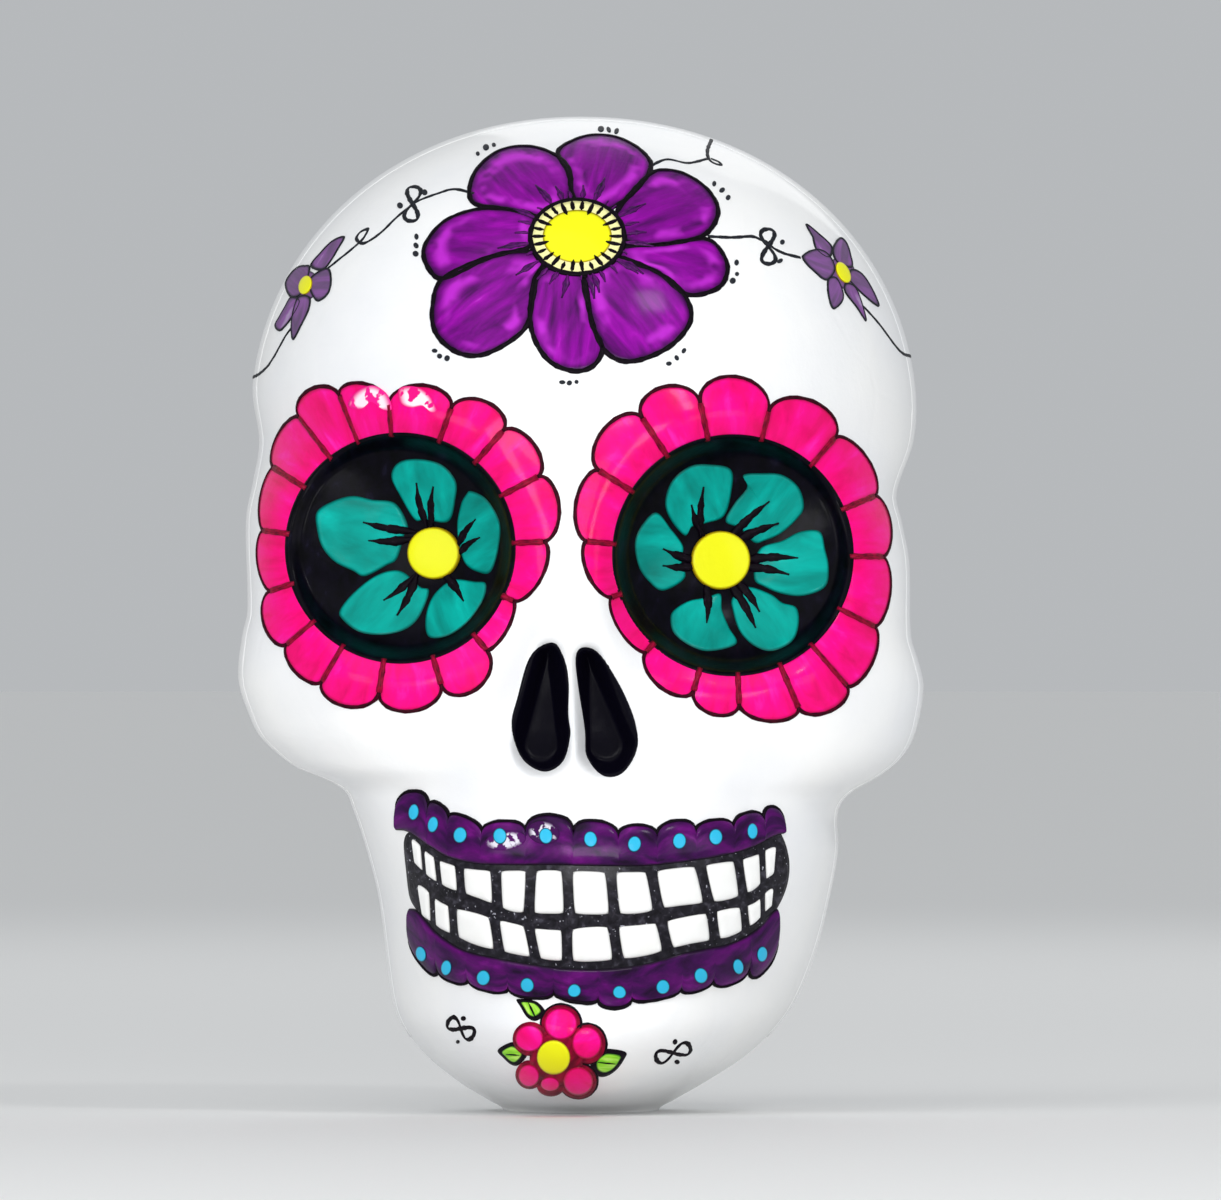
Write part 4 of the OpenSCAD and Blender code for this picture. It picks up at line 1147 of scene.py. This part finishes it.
bloom(RIGHT_BLOOM, (-77.3, 232.6), (1.8, 2.7, -18))
bloom(LEFT_BLOOM, (73.5, 236.1), (1.7, 3.2, 28))
print(len(washes), "washes in front")

# %% [markdown]
# Round the sides and the back the vines go on in the same manner, with the same bows, dots and
# mauve flowers, so that the head is dressed from every side.

# %% Vines round the sides and the back
def star(size, n=5, turn=0.0):
    """Outlines of n pointed petals round 0, 0: each is a leaf between two rounded shoulders."""
    leaf = np.array([(0, 1.2), (1.6, 3.2), (1.9, 5.4), (0, 9.2), (-1.9, 5.4), (-1.6, 3.2)]) * size
    turns = np.radians(turn + 360 / n * np.arange(n))
    return [leaf @ np.array([[np.cos(t), np.sin(t)], [-np.sin(t), np.cos(t)]]) for t in turns]


CHEEK_VINE = [(-96, 140), (-100, 131), (-107, 124), (-117, 120.5), (-125, 123), (-126, 130), (-120, 131.5),
              (-118, 125), (-124, 115), (-134, 108), (-146, 104)]
side_vines = [
    [(-64.5, 222.5), (-67.5, 219), (-69.5, 215.5), (-71.5, 212.5), (-75, 209.5), (-82, 207.4),
     (-92, 206.6), (-104, 206), (-114, 203.5), (-121, 198.5), (-124, 193)],
    [(-127, 180), (-129, 172), (-134, 165), (-143, 161), (-150, 165), (-148, 172), (-141.5, 170.5),
     (-143, 162), (-152, 154), (-163, 150), (-172, 151)],
    [(63, 228), (68, 222.5), (74, 216), (80, 213.3), (92, 212.5), (103, 211), (113, 206), (119, 199.5),
     (121, 193)],
    [(124, 180), (128, 171.5), (134, 166), (143, 163), (149.5, 166.5), (148, 173.5), (141.5, 172),
     (143, 164), (151, 156), (162, 151), (172, 151)],
    CHEEK_VINE, [(-a, z) for a, z in CHEEK_VINE],
    [(220, 214), (212, 222), (202, 228), (191, 228.5), (187, 222), (192.5, 218), (197, 223), (192, 231),
     (180, 236), (164, 236), (158, 229), (163, 222.5), (169, 226), (164, 233), (152, 229), (141, 216)]]
pen_marks += [line(vine, 1.0, where=np.asarray, lift=0.22, taper=3) for vine in side_vines]
print(len(side_vines), "vines")

# %% Flowers, bows and dots round the sides and the back
# Places and turns; a flower has a size too, and the largest has a sixth petal.
BLOOMS = [(-125.5, 185, 1.35, 20), (122.5, 185, 1.35, -20), (180, 150, 1.9, 0), (-150, 100, 1.1, 40),
          (150, 100, 1.1, -40), (-136, 208, 1.05, 10), (137, 208.5, 1.05, -10)]
SIDE_BOWS = [(-98, 206.3, 80), (97, 212, 80), (-107, 126, 60), (107, 126, 120), (180, 236, 90)]
SIDE_DOTS = [(-112, 214), (111, 217), (-112, 172), (112, 172), (-100, 152), (101, 153), (-155, 172),
             (155, 174), (-137, 132), (137, 132), (180, 196), (-160, 205), (160, 205), (180, 118),
             (-165, 132), (165, 132), (-100, 88), (100, 90)]
for a, z, size, turn in BLOOMS:
    bloom(star(size, 5 + (size > 1.5), turn), (0, 0), (1.8 * size, 1.8 * size), around(a, z))
for a, z, turn in SIDE_BOWS:
    pen_marks.append(line(figure_eight((0, 0), 4.6, turn), 1.15, closed=True, where=around(a, z)))
for a, z in SIDE_DOTS:
    pen_marks += dots([(-2.2, -0.8), (0, 0), (2.2, 1.0)], 0.8, where=around(a, z))
paint("vines", pen_marks, FINE_LINE)
paint("mauve_petals", washes, MAUVE)
paint("mauve_outlines", wash_lines, FINE_LINE)
paint("mauve_hearts", wash_hearts, YELLOW)

# %% [markdown]
# ## The strip over the joint
# The halves are held together by a pasted strip of paper that runs up one side, over the crown and
# down the other. Pressed down and painted over, it is hardly more than a low swelling: thin at
# its borders and highest along the joint.

# %% Outer strip
STRIP_THICK = 0.55                     # its paper, whose underside lies a little inside the shells
STRIP_FOOT = 21.0                      # height at which it starts


def strip_points(side, z, off):
    """Points beside the joint at height z, off in front of the widest line (negative) or behind
    it, on a skin swollen to the strip's height. They come from the ovals' formulas, solved for x."""
    rise = swell(off)
    up = np.maximum(0, z - CROWN_Z) / (CROWN_RISE + rise)
    d = arc(np.minimum(1, up), DOME_POWER)
    m = at(z, WIDEST_Y)
    w = (np.where(side < 0, at(z, RIGHT_HALF), at(z, LEFT_HALF)) + rise) * d
    front = (m - at(z, FRONT_Y) + rise) * d
    back = (at(z, BACK_Y) - m + rise) * d
    wide = (at(z, BACK_HALF) + rise) * d
    c = np.clip(off / np.maximum(back, 1e-6), 0, 1)
    ahead = arc(np.minimum(1, np.maximum(0, -off) / np.maximum(front, 1e-6)), at(z, SQUARENESS))
    behind = (wide + (w - wide) * (1 - ease(2 * c))) * np.sqrt(1 - c * c)
    return np.stack([side * np.where(off < 0, w * ahead, behind), m + off, z], -1)


def crown_height(t, off):
    """Height of the swollen dome over the point that is cos t across and off from the middle."""
    m = at(CROWN_Z, WIDEST_Y)
    depth = np.where(off < 0, m - at(CROWN_Z, FRONT_Y), at(CROWN_Z, BACK_Y) - m)
    share = np.abs(off) / depth
    reach = np.hypot(np.cos(t) * np.sqrt(1 - share**2), share)
    return CROWN_Z + (CROWN_RISE + swell(off)) * arc(reach, DOME_POWER)


def strip():
    """Closed part along the joint: up the right side, over the crown and down the left side. Its
    underside is its top moved inwards by the thickness, along the normals of the grid itself."""
    off = np.linspace(-1, 1, 21) * STRIP_W / 2
    climb = np.linspace(STRIP_FOOT, CROWN_Z, 90)[:, None] * np.ones_like(off)
    t = np.radians(np.linspace(0, 180, 121)[1:-1])[:, None] * np.ones_like(off)
    arch = strip_points(np.where(t < np.pi / 2, -1, 1), crown_height(t, off), off + 0 * t)
    right, left = (strip_points(side, climb, off + 0 * climb) for side in (-1, 1))
    top = np.concatenate([right, arch, left[::-1]])
    normals = np.cross(np.gradient(top, axis=0), np.gradient(top, axis=1))
    normals /= np.maximum(np.linalg.norm(normals, axis=-1, keepdims=True), 1e-9)
    normals *= np.sign((normals * (top - [0, 0, DRAWN_H / 2])).sum())
    run = np.arange(len(top))[:, None] * 0.2
    return slab(top, top - STRIP_THICK * normals, beside(off / 10, run))


joint = strip()
print("strip of", len(joint[0]), "points")

# %% [markdown]
# ## White paper, card and the strip's finish
# Under the flowers everything is white: a chalky primer, brushed by hand and varnished. The white
# is a little uneven, and under the varnish the paper's lumps and torn edges still show.

# %% Whites and card
def white_coat(name, light, shade, rough, gloss, torn=0.0):
    """Paper with or without white on it: wide faint patches of colour, soft lumps of pulp, brush
    marks and, by the share torn, the straight-edged cells of torn paper."""
    finish, tree, shader = new_finish(name)
    place = add(tree, "ShaderNodeTexCoord").outputs["Object"]
    colour = ramp(tree, noise(tree, place, 22.0, 3.0), [(0.35, shade), (0.65, light)])
    lumps = noise(tree, place, 45.0, 6.0, {"Roughness": 0.6})
    bristle = noise(tree, stretched(tree, place, (900.0, 900.0, 160.0)), 1.0, 2.0)
    cells = add(tree, "ShaderNodeTexVoronoi", {"Vector": place, "Scale": 38.0, "Randomness": 1.0},
                feature="DISTANCE_TO_EDGE")
    tears = between(tree, cells.outputs["Distance"], 0.0, 0.06)
    normal_out = dented(tree, lumps, 0.35, 0.0012)
    normal_out = dented(tree, bristle, 0.2, 0.0001, normal_out)
    normal_out = dented(tree, tears, torn, 0.0003, normal_out)
    feed(tree, shader, {"Base Color": colour, "Normal": normal_out, "Roughness": rough,
                        "Coat Weight": gloss, "Coat Roughness": 0.1})
    return finish


WHITE = white_coat("white_enamel", (250, 250, 249), (243, 244, 246), 0.38, 0.55, 0.12)
PAPER = white_coat("bare_paper", (226, 214, 190), (204, 190, 164), 0.85, 0.0, 0.5)
CARD = white_coat("grey_card", (196, 178, 148), (172, 154, 126), 0.8, 0.0, 0.1)
paint("joint_strip", [joint], WHITE, "seam_strip_outer")
for shell in (face, back):
    shell.data.materials.append(WHITE)


def finish_node(name, material):
    """Gives a CAD node that stays a finish in every one of its material slots."""
    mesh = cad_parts[name].data
    if not mesh.materials:
        mesh.materials.append(material)
    for i in range(len(mesh.materials)):
        mesh.materials[i] = material
    print(name, "is now", material.name)


finish_node("seam_strip_inner", PAPER)
finish_node("neck_ring", CARD)
finish_node("base_disc", CARD)

# %% [markdown]
# ## Finish slots
# The record names eight finishes that can be changed, and the three CAD nodes that stay say theirs already.

# %% [markdown]
# ## Room, lights and camera
# A wide pale table and soft light: a large panel in front on either side, one low in front so that
# the chin isn't dark, one behind, and one small panel that gives the paint its crisp highlights.
# A pale room and a wide soft sun lift the shadows.

# %% Table
TABLE_HALF = 12.0                      # half side of the table, in metres: it has to fill the view
table_mesh = bpy.data.meshes.new("table")
corners = [(TABLE_HALF * x, TABLE_HALF * y, 0) for x, y in ((-1, -1), (1, -1), (1, 1), (-1, 1))]
table_mesh.from_pydata(corners, [], [(0, 1, 2, 3)])
table = bpy.data.objects.new("table", table_mesh)
bpy.context.scene.collection.objects.link(table)
table_paint, tree, shader = new_finish("table_paint")
feed(tree, shader, {"Base Color": tone(236, 236, 235), "Roughness": 0.7})
table_mesh.materials.append(table_paint)
print("table", 2 * TABLE_HALF, "m wide")

# %% Pale room
world = bpy.data.worlds.new("room")
bpy.context.scene.world = world
world.use_nodes = True
feed(world.node_tree, world.node_tree.nodes["Background"],
     {"Color": (0.94, 0.97, 1.0, 1), "Strength": 0.5})
print("world:", world.name)


# %% Soft lights
def panel(name, place, size, watts, towards=(0, 0, 0.15)):
    """Square area light at a place, in metres, turned towards a point."""
    lamp = bpy.data.lights.new(name, "AREA")
    lamp.size = size
    lamp.energy = watts
    holder = bpy.data.objects.new(name, lamp)
    holder.location = place
    aim = np.array(towards) - place
    holder.rotation_euler = (np.arctan2(np.hypot(aim[0], aim[1]), -aim[2]), 0, np.arctan2(-aim[0], aim[1]))
    bpy.context.scene.collection.objects.link(holder)


panel("key", (-1.8, -2.6, 0.6), 1.6, 24)
panel("fill", (2.2, -2.2, 0.5), 1.6, 14)
panel("low", (0.1, -2.8, 0.44), 0.8, 17)
panel("behind", (0.4, 2.4, 1.7), 1.5, 6)
panel("glint", (0.75, -1.35, 1.65), 0.3, 5)
sky = bpy.data.lights.new("skylight", "SUN")
sky.energy = 0.42
sky.angle = radians(50)
sky_holder = bpy.data.objects.new("skylight", sky)
sky_holder.rotation_euler = (radians(38), 0, radians(-22))
bpy.context.scene.collection.objects.link(sky_holder)

# %% [markdown]
# The camera stands far off and nearly level, with a long lens, so that the head is seen almost
# without perspective and each side of the face keeps its true width.

# %% Camera
VIEW_W = 343.2 * UNIT                  # width that the view takes in at the head
AWAY = 9.0                             # metres
RISE = radians(0.4)
MIDDLE = np.array([8.3, -40.0, 144.2]) * UNIT
lens = bpy.data.cameras.new("camera")
lens.sensor_width = 36.0
lens.lens = lens.sensor_width * AWAY / VIEW_W
camera = bpy.data.objects.new("camera", lens)
camera.location = MIDDLE + AWAY * np.array([0, -np.cos(RISE), np.sin(RISE)])
camera.rotation_euler = (radians(90) - RISE, 0, 0)
bpy.context.scene.collection.objects.link(camera)
bpy.context.scene.camera = camera
print("field of view", round(2 * float(np.degrees(atan(VIEW_W / 2 / AWAY))), 2), "degrees")
